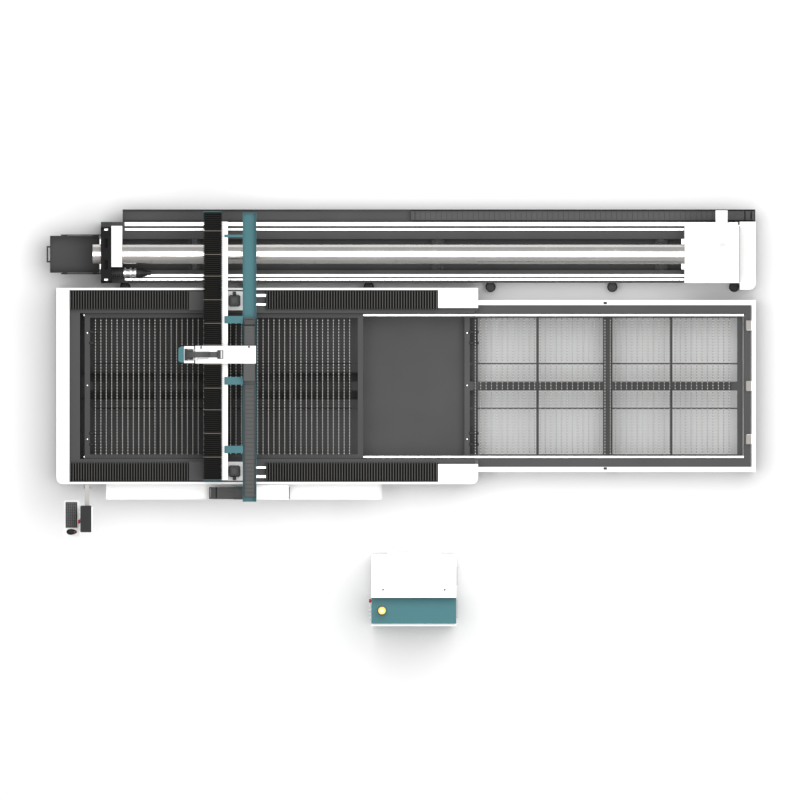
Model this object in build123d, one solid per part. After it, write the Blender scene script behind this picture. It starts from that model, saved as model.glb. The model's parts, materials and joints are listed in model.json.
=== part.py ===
from build123d import *
import math
import os

# Laser cutting machine for sheet and tube, in millimetres.
# u runs right from the bed's left face, v runs back from the bed's centre line, z runs up from the floor.
# Every pair of numbers is a (low, high) span along one of them.


# Spans
def middle(span):
    return (span[0] + span[1]) / 2


def length(span):
    return span[1] - span[0]


def about(centre, half):
    return (centre - half, centre + half)


def raised(span, height):
    return (span[0] + height, span[1] + height)


def inset(span, first, last):
    """The span drawn in at its low end and at its high end."""
    return (span[0] + first, span[1] - last)


def spread(span, count):
    """Evenly spaced places from one end of a span to the other."""
    step = length(span) / (count - 1)
    return [span[0] + i * step for i in range(count)]


# Shared stock
FOOT_HEIGHT = 90
SHEET = 4
RAIL_WIDTH = 23
RAIL_HEIGHT = 24
RUNNING_GAP = 0.5
FIT_GAP = 0.3
ROUND_SIDES = 8
TURNING_SIDES = 24

# Pallets: two alike, one on each level of the tracks
PALLET_LENGTH = 3120
PALLET_HALF = 815
PALLET_BAR = 50
PALLET_END_BAR = 60
PALLET_BAR_HEIGHT = 89.7
PALLET_BEARER_HEIGHT = 69.7
PALLET_CROSS = ((820, 28), (1607, 106), (2318, 28))
PALLET_CENTRE_HALF = 50
PALLET_TIE_V = 251
PALLET_TIE = 16
WHEEL_RADIUS = 35
WHEEL_WIDTH = 18
WHEEL_SHARES = (0.04, 0.35, 0.65, 0.96)
LOWER_TRACK_TOP = 425
LEVEL_CLEARANCE = 45
TRACK_HEIGHT = 25
TRACK_WIDTH = 20
TRACK_SHELF = 6
TRACK_V = (PALLET_HALF - TRACK_WIDTH * 3 / 2, PALLET_HALF - TRACK_WIDTH / 2)
SLAT_PITCH = 60.6
SLAT_THICKNESS = 5
SLAT_HEIGHT = 90
SLAT_END_GAP = 3
SLAT_BOTTOM = WHEEL_RADIUS + FIT_GAP + PALLET_BEARER_HEIGHT
UPPER_TRACK_TOP = LOWER_TRACK_TOP + SLAT_BOTTOM + SLAT_HEIGHT + LEVEL_CLEARANCE
TRACK_TOPS = (UPPER_TRACK_TOP, LOWER_TRACK_TOP)
SLAT_HALF = PALLET_HALF - PALLET_BAR - SLAT_END_GAP
SLAT_COUNT = int((PALLET_LENGTH - 2 * PALLET_END_BAR) // SLAT_PITCH) - 1

# Bed, whose width follows the pallet and whose length follows the two pallets and the outlet between them
PALLET_SIDE_GAP = 3
BED_SIDE_WIDTH = 280
COVER_STANDOFF = 26
LEFT_COVER_DEPTH = 146
CROSS_BEAM_WIDTH = 117
PALLET_FRONT_GAP = 51
OUTLET_LENGTH = 1136
BED_OVERLAP = 151
BED_INSIDE = PALLET_HALF + PALLET_SIDE_GAP
BED_HALF = BED_INSIDE + BED_SIDE_WIDTH
BEAM_OUTSIDE = BED_HALF - COVER_STANDOFF
CROSS_BEAM_U = (LEFT_COVER_DEPTH, LEFT_COVER_DEPTH + CROSS_BEAM_WIDTH)
UPPER_PALLET_U = CROSS_BEAM_U[1] + PALLET_FRONT_GAP
OUTLET_START = UPPER_PALLET_U + PALLET_LENGTH
LOWER_PALLET_U = OUTLET_START + OUTLET_LENGTH
BED_U = (0, LOWER_PALLET_U + BED_OVERLAP)
BEAM_END_GAP = 31
BEAM_U = (LEFT_COVER_DEPTH, BED_U[1] - BEAM_END_GAP)
BEAM_TOP = 900
COVER_TOP = 1000
COVER_BOTTOM = 150
CORNER_RADIUS = 75
LEFT_COVER_BOTTOM = 60
COVER_LIP = 23
END_COVER_LENGTH = 448
END_COVER_U = (BED_U[1] - END_COVER_LENGTH, BED_U[1])
END_COVER_STANDOFF = 56
END_COVER_INSIDE = BED_INSIDE + END_COVER_STANDOFF

# Scrap hopper and outlet floor
HOPPER_TOP = 380
HOPPER_SLOT = 154
HOPPER_DEEP = 130
HOPPER_SHALLOW = 210
HOPPER_SPLIT_SHARES = (0.33, 0.69)
HOPPER_SHEET = 6
SCRAP_TRAY_Z = (FOOT_HEIGHT + HOPPER_SHEET, FOOT_HEIGHT + 2 * HOPPER_SHEET)
OUTLET_U = (OUTLET_START, BED_U[1])
OUTLET_RIBS = 3
OUTLET_RIB_SIZE = 40
OUTLET_RIB_INSET = 140

# Rails and racks of the bed
X_RAIL_STANDOFF = 95
X_RACK_STANDOFF = 84
X_RACK_WIDTH = 30
X_RAIL_INSET = 34
X_RAIL_END_GAP = 50
X_RAIL_V = BED_INSIDE + X_RAIL_STANDOFF
X_RACK_V = BED_HALF - X_RACK_STANDOFF
X_RAIL_U = inset(BEAM_U, X_RAIL_INSET, X_RAIL_END_GAP)

# Gantry
SADDLE_LENGTH = 605
GANTRY_START = 1484
SADDLE_INSET = (30, 38)
SADDLE_Z = (935, 1000)
GUIDE_BLOCK_LENGTH = 140
GUIDE_BLOCK_INSET = 16
GUIDE_BLOCK_HALF = 32
GUIDE_BLOCK_BOTTOM = 908
GANTRY_BEAM_WIDTH = 261
GANTRY_BEAM_INSET = 176
GANTRY_BEAM_Z = (1130, 1380)
GANTRY_BEAM_WALL = 12
GANTRY_FRONT_INSET = 45
GANTRY_BACK_INSET = 5
GANTRY_PORT = (150, 190)
GANTRY_PORT_PITCH = 340
END_PLATE_THICKNESS = 20
SERVO_FLANGE = (130, 24)
SERVO_BODY = (112, 130)
SERVO_CAP = (84, 60)
SERVO_CORNER = 16
SERVO_INSET = 73
SADDLE_U = (GANTRY_START, GANTRY_START + SADDLE_LENGTH)
SADDLE_V = (BED_INSIDE + SADDLE_INSET[0], BED_HALF - SADDLE_INSET[1])
GANTRY_BEAM_START = GANTRY_START + GANTRY_BEAM_INSET
GANTRY_BEAM_U = (GANTRY_BEAM_START, GANTRY_BEAM_START + GANTRY_BEAM_WIDTH)
END_PLATE_U = (GANTRY_BEAM_U[1], SADDLE_U[1])
END_PLATE_Z = (SADDLE_Z[1], SADDLE_Z[1] + END_PLATE_THICKNESS)
SERVO_CENTRE = (GANTRY_BEAM_U[1] + SERVO_INSET, middle(SADDLE_V))

# Pleated bellows over the rails
BELLOWS_INSET = (33, 30)
BELLOWS_HEIGHT = 80
BELLOWS_FOLD = 42
X_BELLOWS_PITCH = 84
X_BELLOWS_HOOD = 257
BELLOWS_V = (BED_INSIDE + BELLOWS_INSET[0], BED_HALF - BELLOWS_INSET[1])
BELLOWS_Z = (SADDLE_Z[0], SADDLE_Z[0] + BELLOWS_HEIGHT)
X_BELLOWS_U = ((BEAM_U[0], SADDLE_U[0]), (SADDLE_U[1] + X_BELLOWS_HOOD, END_COVER_U[0]))

# Levelling feet
FOOT_RADIUS = 56
FOOT_DISC = 18
FOOT_SIDES = 8
STEM_RADIUS = 20
STEM_SIDES = 4
FOOT_LUG = 80
FOOT_LUG_HEIGHT = 22
FOOT_REACH = 50
FOOT_BACK_INSET = 42
BED_FEET = 4
BED_FEET_INSET = (114, 410)
EXCHANGE_FEET = 3
EXCHANGE_FEET_INSET = 138
TUBE_FEET = 6
TUBE_FEET_INSET = (266, 56)
BED_FEET_U = spread(inset(BEAM_U, *BED_FEET_INSET), BED_FEET)
BED_FEET_V = (BED_INSIDE + BEAM_OUTSIDE) / 2

# Exchange table
EXCHANGE_BEAM_WIDTH = 89
EXCHANGE_COVER_WIDTH = 145
EXCHANGE_END_GAP = 15
EXCHANGE_END_WIDTH = 73
EXCHANGE_STRIP_GAP = 12
EXCHANGE_STRIP_WIDTH = 44
EXCHANGE_BEAM_Z = (330, 700)
EXCHANGE_LEG = 90
EXCHANGE_COVER_Z = (150, 712)
STOP_BLOCK_PLACE_SHARES = (0.83, 0, -0.73)
STOP_BLOCK_INSET = 28
STOP_BLOCK_SIZE = (110, 60)
TRACK_END_GAP = 5
TRACK_OVERHANG = 14
EXCHANGE_END = LOWER_PALLET_U + PALLET_LENGTH + EXCHANGE_END_GAP
EXCHANGE_END_U = (EXCHANGE_END, EXCHANGE_END + EXCHANGE_END_WIDTH)
EXCHANGE_U = (BED_U[1], EXCHANGE_END_U[1])
EXCHANGE_BEAM_V = (BED_INSIDE, BED_INSIDE + EXCHANGE_BEAM_WIDTH)
EXCHANGE_COVER_OUTSIDE = BED_INSIDE + EXCHANGE_COVER_WIDTH
EXCHANGE_STRIP = EXCHANGE_END_U[1] + EXCHANGE_STRIP_GAP
EXCHANGE_STRIP_U = (EXCHANGE_STRIP, EXCHANGE_STRIP + EXCHANGE_STRIP_WIDTH)
STOP_BLOCK_U = (EXCHANGE_END_U[0] + STOP_BLOCK_INSET, EXCHANGE_STRIP_U[0])
TRACK_U = (UPPER_PALLET_U - TRACK_OVERHANG, EXCHANGE_END_U[0] - TRACK_END_GAP)
EXCHANGE_FEET_U = spread(inset(EXCHANGE_U, EXCHANGE_FEET_INSET, EXCHANGE_FEET_INSET), EXCHANGE_FEET)
RIGHT_END = EXCHANGE_STRIP_U[1]

# Tube bed behind the sheet bed
TUBE_BED_GAP = 61
TUBE_FRONT_BEAM_WIDTH = 141
TUBE_BACK_BEAM_WIDTH = 192
TUBE_AXIS_REACH = (178, 172)
TUBE_BED_INSET = (490, 179)
TUBE_BED_Z = (FOOT_HEIGHT, 390)
TUBE_FLOOR_Z = (180, 200)
TUBE_RAIL_STANDOFF = (37, 84)
TUBE_RAIL_INSET = (270, 15)
TUBE_STRIP_INSET = (67, 5)
TUBE_STRIP_WIDTH = (28, 39)
TUBE_STRIP_HEIGHT = 12
TUBE_END_REACH = 79
TUBE_END_PLATE_Z = (60, 700)
TUBE_HEIGHT = 750
TUBE_BED_U = inset((0, RIGHT_END), *TUBE_BED_INSET)
TUBE_FRONT = BED_HALF + TUBE_BED_GAP
TUBE_FRONT_BEAM_V = (TUBE_FRONT, TUBE_FRONT + TUBE_FRONT_BEAM_WIDTH)
TUBE_AXIS = (TUBE_FRONT_BEAM_V[1] + TUBE_AXIS_REACH[0], TUBE_HEIGHT)
TUBE_BACK = TUBE_AXIS[0] + TUBE_AXIS_REACH[1]
TUBE_BACK_BEAM_V = (TUBE_BACK, TUBE_BACK + TUBE_BACK_BEAM_WIDTH)
TUBE_OUTSIDE_V = (TUBE_FRONT_BEAM_V[0], TUBE_BACK_BEAM_V[1])
TUBE_RAILS_V = inset(TUBE_OUTSIDE_V, *TUBE_RAIL_STANDOFF)
TUBE_RAIL_U = inset(TUBE_BED_U, *TUBE_RAIL_INSET)
FRONT_STRIP = TUBE_FRONT + TUBE_STRIP_INSET[0]
BACK_STRIP = TUBE_OUTSIDE_V[1] - TUBE_STRIP_INSET[1]
TUBE_STRIPS_V = (
    (FRONT_STRIP, FRONT_STRIP + TUBE_STRIP_WIDTH[0]),
    (BACK_STRIP - TUBE_STRIP_WIDTH[1], BACK_STRIP),
)
TUBE_END_PLATE_V = (TUBE_FRONT - TUBE_END_REACH, TUBE_OUTSIDE_V[1])
TUBE_FEET_U = spread(inset(TUBE_BED_U, *TUBE_FEET_INSET), TUBE_FEET)
TUBE_FEET_V = (TUBE_FRONT - FOOT_REACH, TUBE_OUTSIDE_V[1] - FOOT_BACK_INSET)
TIE_BARS_U = ((1690, 1890), (2180, 2230))
TIE_BAR_Z = (FOOT_HEIGHT, COVER_BOTTOM)

# Gantry's cross rails, bellows and cable tray
Y_RAIL_INSET = (30, 101)
Y_RAIL_END_GAP = 13
Y_BELLOWS_INSET = (14, 73)
Y_BELLOWS_END_GAP = 6
Y_BELLOWS_OVERHANG = 106
Y_BELLOWS_Z = (1406, 1480)
Y_BELLOWS_PITCH = 62
Y_BELLOWS_FOLD = 30
Y_BELLOWS_WALL = 6
Y_BELLOWS_WALL_Z = (GANTRY_BEAM_Z[1], 1486)
Y_BELLOWS_SHELF = 12
CABLE_TRAY_WIDTH = 151
CABLE_TRAY_Z = (1300, 1388)
CABLE_TRAY_OVERHANG = 101
TRAY_BRACKET_PLACES = ((1663, 28), (700, 82), (15, 86), (-750, 82))
TRAY_BRACKET_OVERLAP = 34
TRAY_BRACKET = 8
GANTRY_BEAM_V = (GANTRY_FRONT_INSET - BED_HALF, TUBE_OUTSIDE_V[1] - GANTRY_BACK_INSET)
Y_RAILS_U = inset(GANTRY_BEAM_U, *Y_RAIL_INSET)
Y_RAIL_V = inset(GANTRY_BEAM_V, Y_RAIL_END_GAP, Y_RAIL_END_GAP)
Y_BELLOWS_U = (GANTRY_BEAM_U[0] - Y_BELLOWS_INSET[0], GANTRY_BEAM_U[1] - Y_BELLOWS_INSET[1])
CABLE_TRAY_U = (SADDLE_U[1], SADDLE_U[1] + CABLE_TRAY_WIDTH)
TRAY_BRACKET_U = (GANTRY_BEAM_U[1] - TRAY_BRACKET_OVERLAP, CABLE_TRAY_U[0])
TRAY_BRACKET_Z = (CABLE_TRAY_Z[1] - TRAY_BRACKET, CABLE_TRAY_Z[1])

# Carriage and cutting head
CARRIAGE_V = (252, 448)
CARRIAGE_FRONT_REACH = 100
CARRIAGE_Z = (1500, 1520)
CARRIAGE_BLOCK_LENGTH = 70
CARRIAGE_BLOCK_INSET = 10
CARRIAGE_BLOCK_HALF = 28
BACK_PLATE_THICKNESS = 80
BACK_PLATE_Z = (1140, CARRIAGE_Z[0])
Z_RAIL_HALF_GAP = 50
Z_RAIL_DEPTH = 12
Z_RAIL_HALF = 9
CHAIN_ARM_REACH = 192
CHAIN_ARM_Z = (1485.3, CARRIAGE_Z[1])
CARRIAGE_U = (GANTRY_BEAM_U[0] - CARRIAGE_FRONT_REACH, CABLE_TRAY_U[1] - SHEET)
BACK_PLATE_U = (CARRIAGE_U[0], CARRIAGE_U[0] + BACK_PLATE_THICKNESS)
Z_RAIL_U = (CARRIAGE_U[0] - Z_RAIL_DEPTH, CARRIAGE_U[0])
Z_RAILS_V = about(middle(CARRIAGE_V), Z_RAIL_HALF_GAP)
Y_BELLOWS_V = (
    (GANTRY_BEAM_V[0] + Y_BELLOWS_END_GAP, CARRIAGE_V[0]),
    (CARRIAGE_V[1], GANTRY_BEAM_V[1] + Y_BELLOWS_OVERHANG),
)
HEAD_COVER_LENGTH = 112
HEAD_COVER_GAP = 2
HEAD_COVER_INSET = 4
HEAD_COVER_Z = (1270, 1560)
HEAD_CAP_LENGTH = 62
HEAD_CAP_INSET = 12
HEAD_CAP_TOP = 1570
HEAD_CORNER = 18
STACK_SIDES = 12
HEAD_AXIS_INSET = 41
HEAD_PROFILE = ((3, 1060), (9, 1075), (24, 1088), (24, 1110), (34, 1116), (34, 1190), (52, 1196))
HEAD_COVER_END = Z_RAIL_U[0] - HEAD_COVER_GAP
HEAD_COVER_U = (HEAD_COVER_END - HEAD_COVER_LENGTH, HEAD_COVER_END)
HEAD_COVER_V = inset(CARRIAGE_V, HEAD_COVER_INSET, HEAD_COVER_INSET)
HEAD_CAP_U = (HEAD_COVER_U[0] - HEAD_CAP_LENGTH, HEAD_COVER_U[0])
HEAD_CAP_V = inset(CARRIAGE_V, HEAD_CAP_INSET, HEAD_CAP_INSET)
HEAD_CAP_Z = (HEAD_COVER_Z[0], HEAD_CAP_TOP)
HEAD_AXIS = (HEAD_COVER_U[0] + HEAD_AXIS_INSET, middle(CARRIAGE_V))
Z_CHAIN_HALF = 32
Z_CHAIN_FOOT_INSET = 16
Z_CHAIN_SPAN = 270
Z_CHAIN_RISE = 130
Z_CHAIN_THICK = 34
Z_CHAIN_V = about(middle(CARRIAGE_V), Z_CHAIN_HALF)
Z_CHAIN_FOOT = (HEAD_COVER_U[0] + Z_CHAIN_FOOT_INSET, HEAD_COVER_Z[1])
Z_CHAIN_START = (Z_CHAIN_FOOT[0] + Z_CHAIN_SPAN, CARRIAGE_Z[1])

# Drag chains: link pitch, notch between links and straight links in a bend
CHAIN_PITCH = 140
CHAIN_NOTCH = (10, 8)
CHAIN_BEND_LINKS = 8
X_TROUGH_WIDTH = 173
X_TROUGH_U = (554, 3640)
X_TROUGH_Z = (700, 780)
X_TROUGH_V = (-BED_HALF - X_TROUGH_WIDTH, -BED_HALF)
X_CHAIN_INSET = (7, 35)
X_CHAIN_V = inset(X_TROUGH_V, *X_CHAIN_INSET)
X_CHAIN_FIXED_U = 2610
X_CHAIN_END_REACH = 150
X_CHAIN_LOOP_REACH = 682
X_CHAIN_ENDS = (X_CHAIN_FIXED_U, CABLE_TRAY_U[1] + X_CHAIN_END_REACH)
X_CHAIN_LOOP_U = X_CHAIN_ENDS[1] - X_CHAIN_LOOP_REACH
X_CHAIN_Z = (X_TROUGH_Z[0] + SHEET + FIT_GAP, 885)
X_CHAIN_THICK = 56
CHAIN_BRACKET_REACH = 64
CHAIN_BRACKET_U = (GANTRY_BEAM_U[1] + CHAIN_BRACKET_REACH, CABLE_TRAY_U[1])
CHAIN_BRACKET_INSET = 28
CHAIN_BRACKET_V = inset(X_TROUGH_V, 0, CHAIN_BRACKET_INSET)
CHAIN_BRACKET_Z = (815, 904)
CHAIN_HANGER_INSET = 10
CHAIN_HANGER_HALF = 8
CHAIN_GUARD_LENGTH = 360
CHAIN_GUARD_GAP = 5
CHAIN_CLAMP_LENGTH = 40
CHAIN_HANGER_U = inset(CABLE_TRAY_U, CHAIN_HANGER_INSET, CHAIN_HANGER_INSET)
CHAIN_GUARD_U = (CABLE_TRAY_U[1], CABLE_TRAY_U[1] + CHAIN_GUARD_LENGTH)
CHAIN_CLAMP_U = (X_CHAIN_ENDS[1] - CHAIN_CLAMP_LENGTH, X_CHAIN_ENDS[1])
CABLE_TRAY_REACH = 23
CABLE_TRAY_V = (X_TROUGH_V[0] - CABLE_TRAY_REACH, GANTRY_BEAM_V[1] + CABLE_TRAY_OVERHANG)
Y_CHAIN_INSET = 18
Y_CHAIN_END_GAP = 54
Y_CHAIN_U = inset(CABLE_TRAY_U, Y_CHAIN_INSET, Y_CHAIN_INSET)
CHAIN_ARM_U = Y_CHAIN_U
CHAIN_ARM_V = (CARRIAGE_V[0] - CHAIN_ARM_REACH, CARRIAGE_V[0])
CHAIN_ARM_LAP = 40
Y_CHAIN_ENDS = (CABLE_TRAY_V[0] + Y_CHAIN_END_GAP, CHAIN_ARM_V[0] + CHAIN_ARM_LAP)
Y_CHAIN_LOOP_V = 760
Y_CHAIN_Z = (CABLE_TRAY_Z[0] + SHEET + FIT_GAP, CHAIN_ARM_Z[0] - FIT_GAP)
Y_CHAIN_THICK = 56
FEED_TRAY_START = 244
FEED_TRAY_WIDTH = 140
FEED_TRAY_Z = (300, TUBE_BED_Z[1])
FEED_TRAY_U = (TUBE_BED_U[0] + FEED_TRAY_START, RIGHT_END)
FEED_TRAY_V = (TUBE_OUTSIDE_V[1], TUBE_OUTSIDE_V[1] + FEED_TRAY_WIDTH)
BACK_END = FEED_TRAY_V[1]
FEED_CHAIN_INSET = 20
FEED_CHAIN_V = inset(FEED_TRAY_V, FEED_CHAIN_INSET, FEED_CHAIN_INSET)
FEED_CHAIN_Z = (FEED_TRAY_Z[0] + SHEET + FIT_GAP, 535)
FEED_CHAIN_THICK = 60
FEED_CHAIN_END_GAP = 11
FEED_CHAIN_LOOP_U = RIGHT_END - FEED_CHAIN_END_GAP
FEED_GUIDE_SHARE = 0.312
FEED_GUIDE_HEIGHT = 20
ANCHOR_SHARE = 0.456
ANCHOR_LENGTH = 40
ANCHOR_GAP = 2
ANCHOR_START = FEED_TRAY_U[0] + ANCHOR_SHARE * length(FEED_TRAY_U)
ANCHOR_U = (ANCHOR_START, ANCHOR_START + ANCHOR_LENGTH)
ANCHOR_HEIGHT = 116

# Chucks and tube
TUBE_RADIUS = 109.5
TUBE_WALL = 8
TUBE_OVERHANG = 95
TUBE_SEAT = 138
SPINDLE_RADIUS = 200
SPINDLE_BORE = 112
JAW = (60, 46)
JAW_COUNT = 4
FRONT_PLATE_THICKNESS = 118
FRONT_PLATE_INSET = 8
FRONT_PLATE_REACH = (5, 61)
FRONT_PLATE_TOP = 1080
FRONT_COVER_DEPTH = 118
FRONT_COVER_REACH = (145, 314)
FRONT_COVER_TOP = 1060
PLATE_CORNER = 40
PLATE_SLOT = (38, 101, 60)
PLATE_SLOT_REACH = 121
FRONT_HUB_LENGTH = 104
FRONT_HUB_RADIUS = 130
COVER_HOLE_GAP = 15.5
FRONT_JAW_LENGTH = 24
FRONT_SPINDLE_INSET = (8, 4)
FRONT_PLATE_START = TUBE_BED_U[0] + FRONT_PLATE_INSET
FRONT_PLATE_U = (FRONT_PLATE_START, FRONT_PLATE_START + FRONT_PLATE_THICKNESS)
FRONT_PLATE_V = (TUBE_FRONT - FRONT_PLATE_REACH[0], TUBE_OUTSIDE_V[1] - FRONT_PLATE_REACH[1])
FRONT_PLATE_Z = (TUBE_BED_Z[1], FRONT_PLATE_TOP)
FRONT_COVER_U = (FRONT_PLATE_U[1], FRONT_PLATE_U[1] + FRONT_COVER_DEPTH)
FRONT_COVER_V = (TUBE_AXIS[0] - FRONT_COVER_REACH[0], TUBE_AXIS[0] + FRONT_COVER_REACH[1])
FRONT_COVER_Z = (TUBE_BED_Z[1], FRONT_COVER_TOP)
FRONT_SPINDLE_U = inset(FRONT_PLATE_U, *FRONT_SPINDLE_INSET)
FRONT_HUB_U = (FRONT_SPINDLE_U[1], FRONT_SPINDLE_U[1] + FRONT_HUB_LENGTH)
FRONT_JAW_U = (FRONT_SPINDLE_U[0] - FRONT_JAW_LENGTH, FRONT_SPINDLE_U[0])
DRIVE_REACH = 109
DRIVE_AXIS = (TUBE_FRONT + DRIVE_REACH, 640)
DRIVE_STAGES = ((144, 52), (100, 62), (198, 48))
DRIVE_FOOT = (80, 40)
DRIVE_FOOT_SHARE = 0.1
REAR_SADDLE_LENGTH = 616
REAR_SADDLE_GAP = 5
REAR_SADDLE_Z = (490, 530)
REAR_SADDLE_REACH = (30, 32)
REAR_FOOT_HALF = 28
REAR_FOOT_LENGTH = 140
REAR_FOOT_INSET = 26
REAR_FOOT_BOTTOM = 396
REAR_COVER_REACH = 12
REAR_COVER_TOP = 1080
REAR_STEP_LENGTH = 252
REAR_STEP_REACH = 89
REAR_STEP_Z = 980
REAR_COVER_WALL = 8
REAR_SPINDLE_LENGTH = 258
REAR_JAW_LENGTH = 42
REAR_BEARING_LENGTH = 130
REAR_BEARING_INSET = 86
REAR_BEARING_HALF = 225
REAR_BEARING_TOP = 960
FEED_ARM_LENGTH = 135
FEED_ARM_PLACE = 352
FEED_ARM_OVERHANG = 8
FEED_ARM = 12
REAR_SADDLE_END = TUBE_BED_U[1] - REAR_SADDLE_GAP
REAR_SADDLE_U = (REAR_SADDLE_END - REAR_SADDLE_LENGTH, REAR_SADDLE_END)
REAR_SADDLE_V = (TUBE_RAILS_V[0] - REAR_SADDLE_REACH[0], TUBE_RAILS_V[1] + REAR_SADDLE_REACH[1])
REAR_COVER_V = inset(REAR_SADDLE_V, -REAR_COVER_REACH, -REAR_COVER_REACH)
REAR_COVER_Z = (REAR_SADDLE_Z[1], REAR_COVER_TOP)
REAR_STEP_U = REAR_SADDLE_U[0] + REAR_STEP_LENGTH
REAR_STEP_V = TUBE_AXIS[0] - REAR_STEP_REACH
REAR_SPINDLE_START = REAR_SADDLE_U[0] + REAR_COVER_WALL
REAR_SPINDLE_U = (REAR_SPINDLE_START, REAR_SPINDLE_START + REAR_SPINDLE_LENGTH)
REAR_JAW_U = (REAR_SPINDLE_START - REAR_JAW_LENGTH, REAR_SPINDLE_START)
TUBE_U = (FRONT_PLATE_U[0] - TUBE_OVERHANG, REAR_SPINDLE_START + TUBE_SEAT)
REAR_BEARING_START = REAR_SADDLE_U[0] + REAR_BEARING_INSET
REAR_BEARING_U = (REAR_BEARING_START, REAR_BEARING_START + REAR_BEARING_LENGTH)
FEED_ARM_START = REAR_SADDLE_U[0] + FEED_ARM_PLACE
FEED_ARM_U = (FEED_ARM_START, FEED_ARM_START + FEED_ARM_LENGTH)
FEED_ARM_V = (REAR_COVER_V[1], FEED_CHAIN_V[1] + FEED_ARM_OVERHANG)
FEED_ARM_Z = (FEED_CHAIN_Z[1] + FIT_GAP, FEED_CHAIN_Z[1] + FIT_GAP + FEED_ARM)
FEED_CHAIN_ENDS = (ANCHOR_U[1] + ANCHOR_GAP, middle(FEED_ARM_U))

# Lifting tube supports
SUPPORT_PLACE_SHARES = (0.146, 0.528, 0.878)
SUPPORTS_U = [TUBE_BED_U[0] + share * length(TUBE_BED_U) for share in SUPPORT_PLACE_SHARES]
SUPPORT_LIFT = 225
SUPPORT_LENGTH = 90
SUPPORT_HALF = 105
SUPPORT_BASE = 60
SUPPORT_GAP = 2
POST_RADIUS = 30
POST_BOTTOM = 30
SUPPORT_PLATE = 14
SUPPORT_CHEEK_GAP = 12
GUIDE_BAR_WIDTH = 40
GUIDE_BAR_HEIGHT = 90

# Parts drawer
DRAWER_LENGTH = 548
DRAWER_END_GAP = 20
DRAWER_HALF = 207
DRAWER_Z = (330, 560)
DRAWER_WALL = 4
DRAWER_HANDLE_HALF = 92
DRAWER_HANDLE_REACH = 40
DRAWER_HANDLE_Z = 500
DRAWER_HANDLE_RADIUS = 9
DRAWER_STAND_LENGTH = 450
DRAWER_STAND_HEIGHT = 29.7
DRAWER_RUNNER = 12
DRAWER_RUNNER_RISE = 50
DRAWER_LEG = 50
DRAWER_LEG_INSET = (40, 70)
DRAWER_END = TUBE_BED_U[0] - DRAWER_END_GAP
DRAWER_U = (DRAWER_END - DRAWER_LENGTH, DRAWER_END)
DRAWER_STAND_U = (TUBE_BED_U[0] - DRAWER_STAND_LENGTH, TUBE_BED_U[0])
DRAWER_STAND_TOP = DRAWER_Z[0] - FIT_GAP
DRAWER_STAND_Z = (DRAWER_STAND_TOP - DRAWER_STAND_HEIGHT, DRAWER_STAND_TOP)
DRAWER_LEGS_U = inset(DRAWER_STAND_U, *DRAWER_LEG_INSET)
LEFT_END = DRAWER_U[0] - DRAWER_HANDLE_REACH

# Operator console
CONSOLE_U = 344
CONSOLE_HINGE_REACH = 28
CONSOLE_BRACKET_HALF = 38
CONSOLE_BRACKET_Z = (960, 1040)
CONSOLE_ARM_HALF = 25.5
CONSOLE_ARM_LENGTH = 286
CONSOLE_ARM_THICKNESS = 51.7
CONSOLE_SWIVEL_REACH = 234
CONSOLE_POST_RADIUS = 22
MONITOR_REACH = (70, 54)
MONITOR_WIDTH = 297
MONITOR_Z = (1140, 1500)
MONITOR_CORNER = 10
SCREEN_INSET = 14
SCREEN_DEPTH = 3
TRAY_WIDTH = 172
TRAY_GAP = 12
TRAY_REACH = (45, 56)
TRAY_Z = (1120, 1126)
TRAY_LIP = 14
TRAY_CORNER = 12
KEYBOARD_INSET = (16, 27)
KEYBOARD_END_INSET = (95, 17)
KEYBOARD_HEIGHT = 16
KEY_ROWS = 5
KEY_HEIGHT = 3
KEY_SHARE = 0.8
KEY_MARGIN = 8
MOUSE_PLACE = (84, 48)
MOUSE_SIZE = (110, 58, 30)
MOUSE_TOP_SHARE = 0.6
STOP_PLACE = 117
STOP_Z = 1230
CONSOLE_HINGE = (CONSOLE_U, -BED_HALF - CONSOLE_HINGE_REACH)
CONSOLE_ARM_U = about(CONSOLE_U, CONSOLE_ARM_HALF)
CONSOLE_ARM_BACK = CONSOLE_HINGE[1] + CONSOLE_POST_RADIUS
CONSOLE_ARM_V = (CONSOLE_ARM_BACK - CONSOLE_ARM_LENGTH, CONSOLE_ARM_BACK)
CONSOLE_ARM_BOTTOM = CONSOLE_BRACKET_Z[1] + FIT_GAP
CONSOLE_ARM_Z = (CONSOLE_ARM_BOTTOM, CONSOLE_ARM_BOTTOM + CONSOLE_ARM_THICKNESS)
CONSOLE_SWIVEL = (CONSOLE_U, CONSOLE_HINGE[1] - CONSOLE_SWIVEL_REACH)
MONITOR_U = inset((CONSOLE_U, CONSOLE_U), -MONITOR_REACH[0], -MONITOR_REACH[1])
MONITOR_BACK = CONSOLE_SWIVEL[1] + CONSOLE_POST_RADIUS
MONITOR_V = (MONITOR_BACK - MONITOR_WIDTH, MONITOR_BACK)
MONITOR_ARM_Z = (CONSOLE_ARM_Z[1] + FIT_GAP, MONITOR_Z[0])
TRAY_END = MONITOR_U[0] - TRAY_GAP
TRAY_U = (TRAY_END - TRAY_WIDTH, TRAY_END)
TRAY_V = inset(MONITOR_V, -TRAY_REACH[0], -TRAY_REACH[1])
KEYBOARD_U = inset(TRAY_U, *KEYBOARD_INSET)
KEYBOARD_V = inset(TRAY_V, *KEYBOARD_END_INSET)
KEYBOARD_Z = (TRAY_Z[1], TRAY_Z[1] + KEYBOARD_HEIGHT)
MOUSE_CENTRE = (TRAY_U[0] + MOUSE_PLACE[0], TRAY_V[0] + MOUSE_PLACE[1])
STOP_V = MONITOR_V[0] + STOP_PLACE

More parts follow.
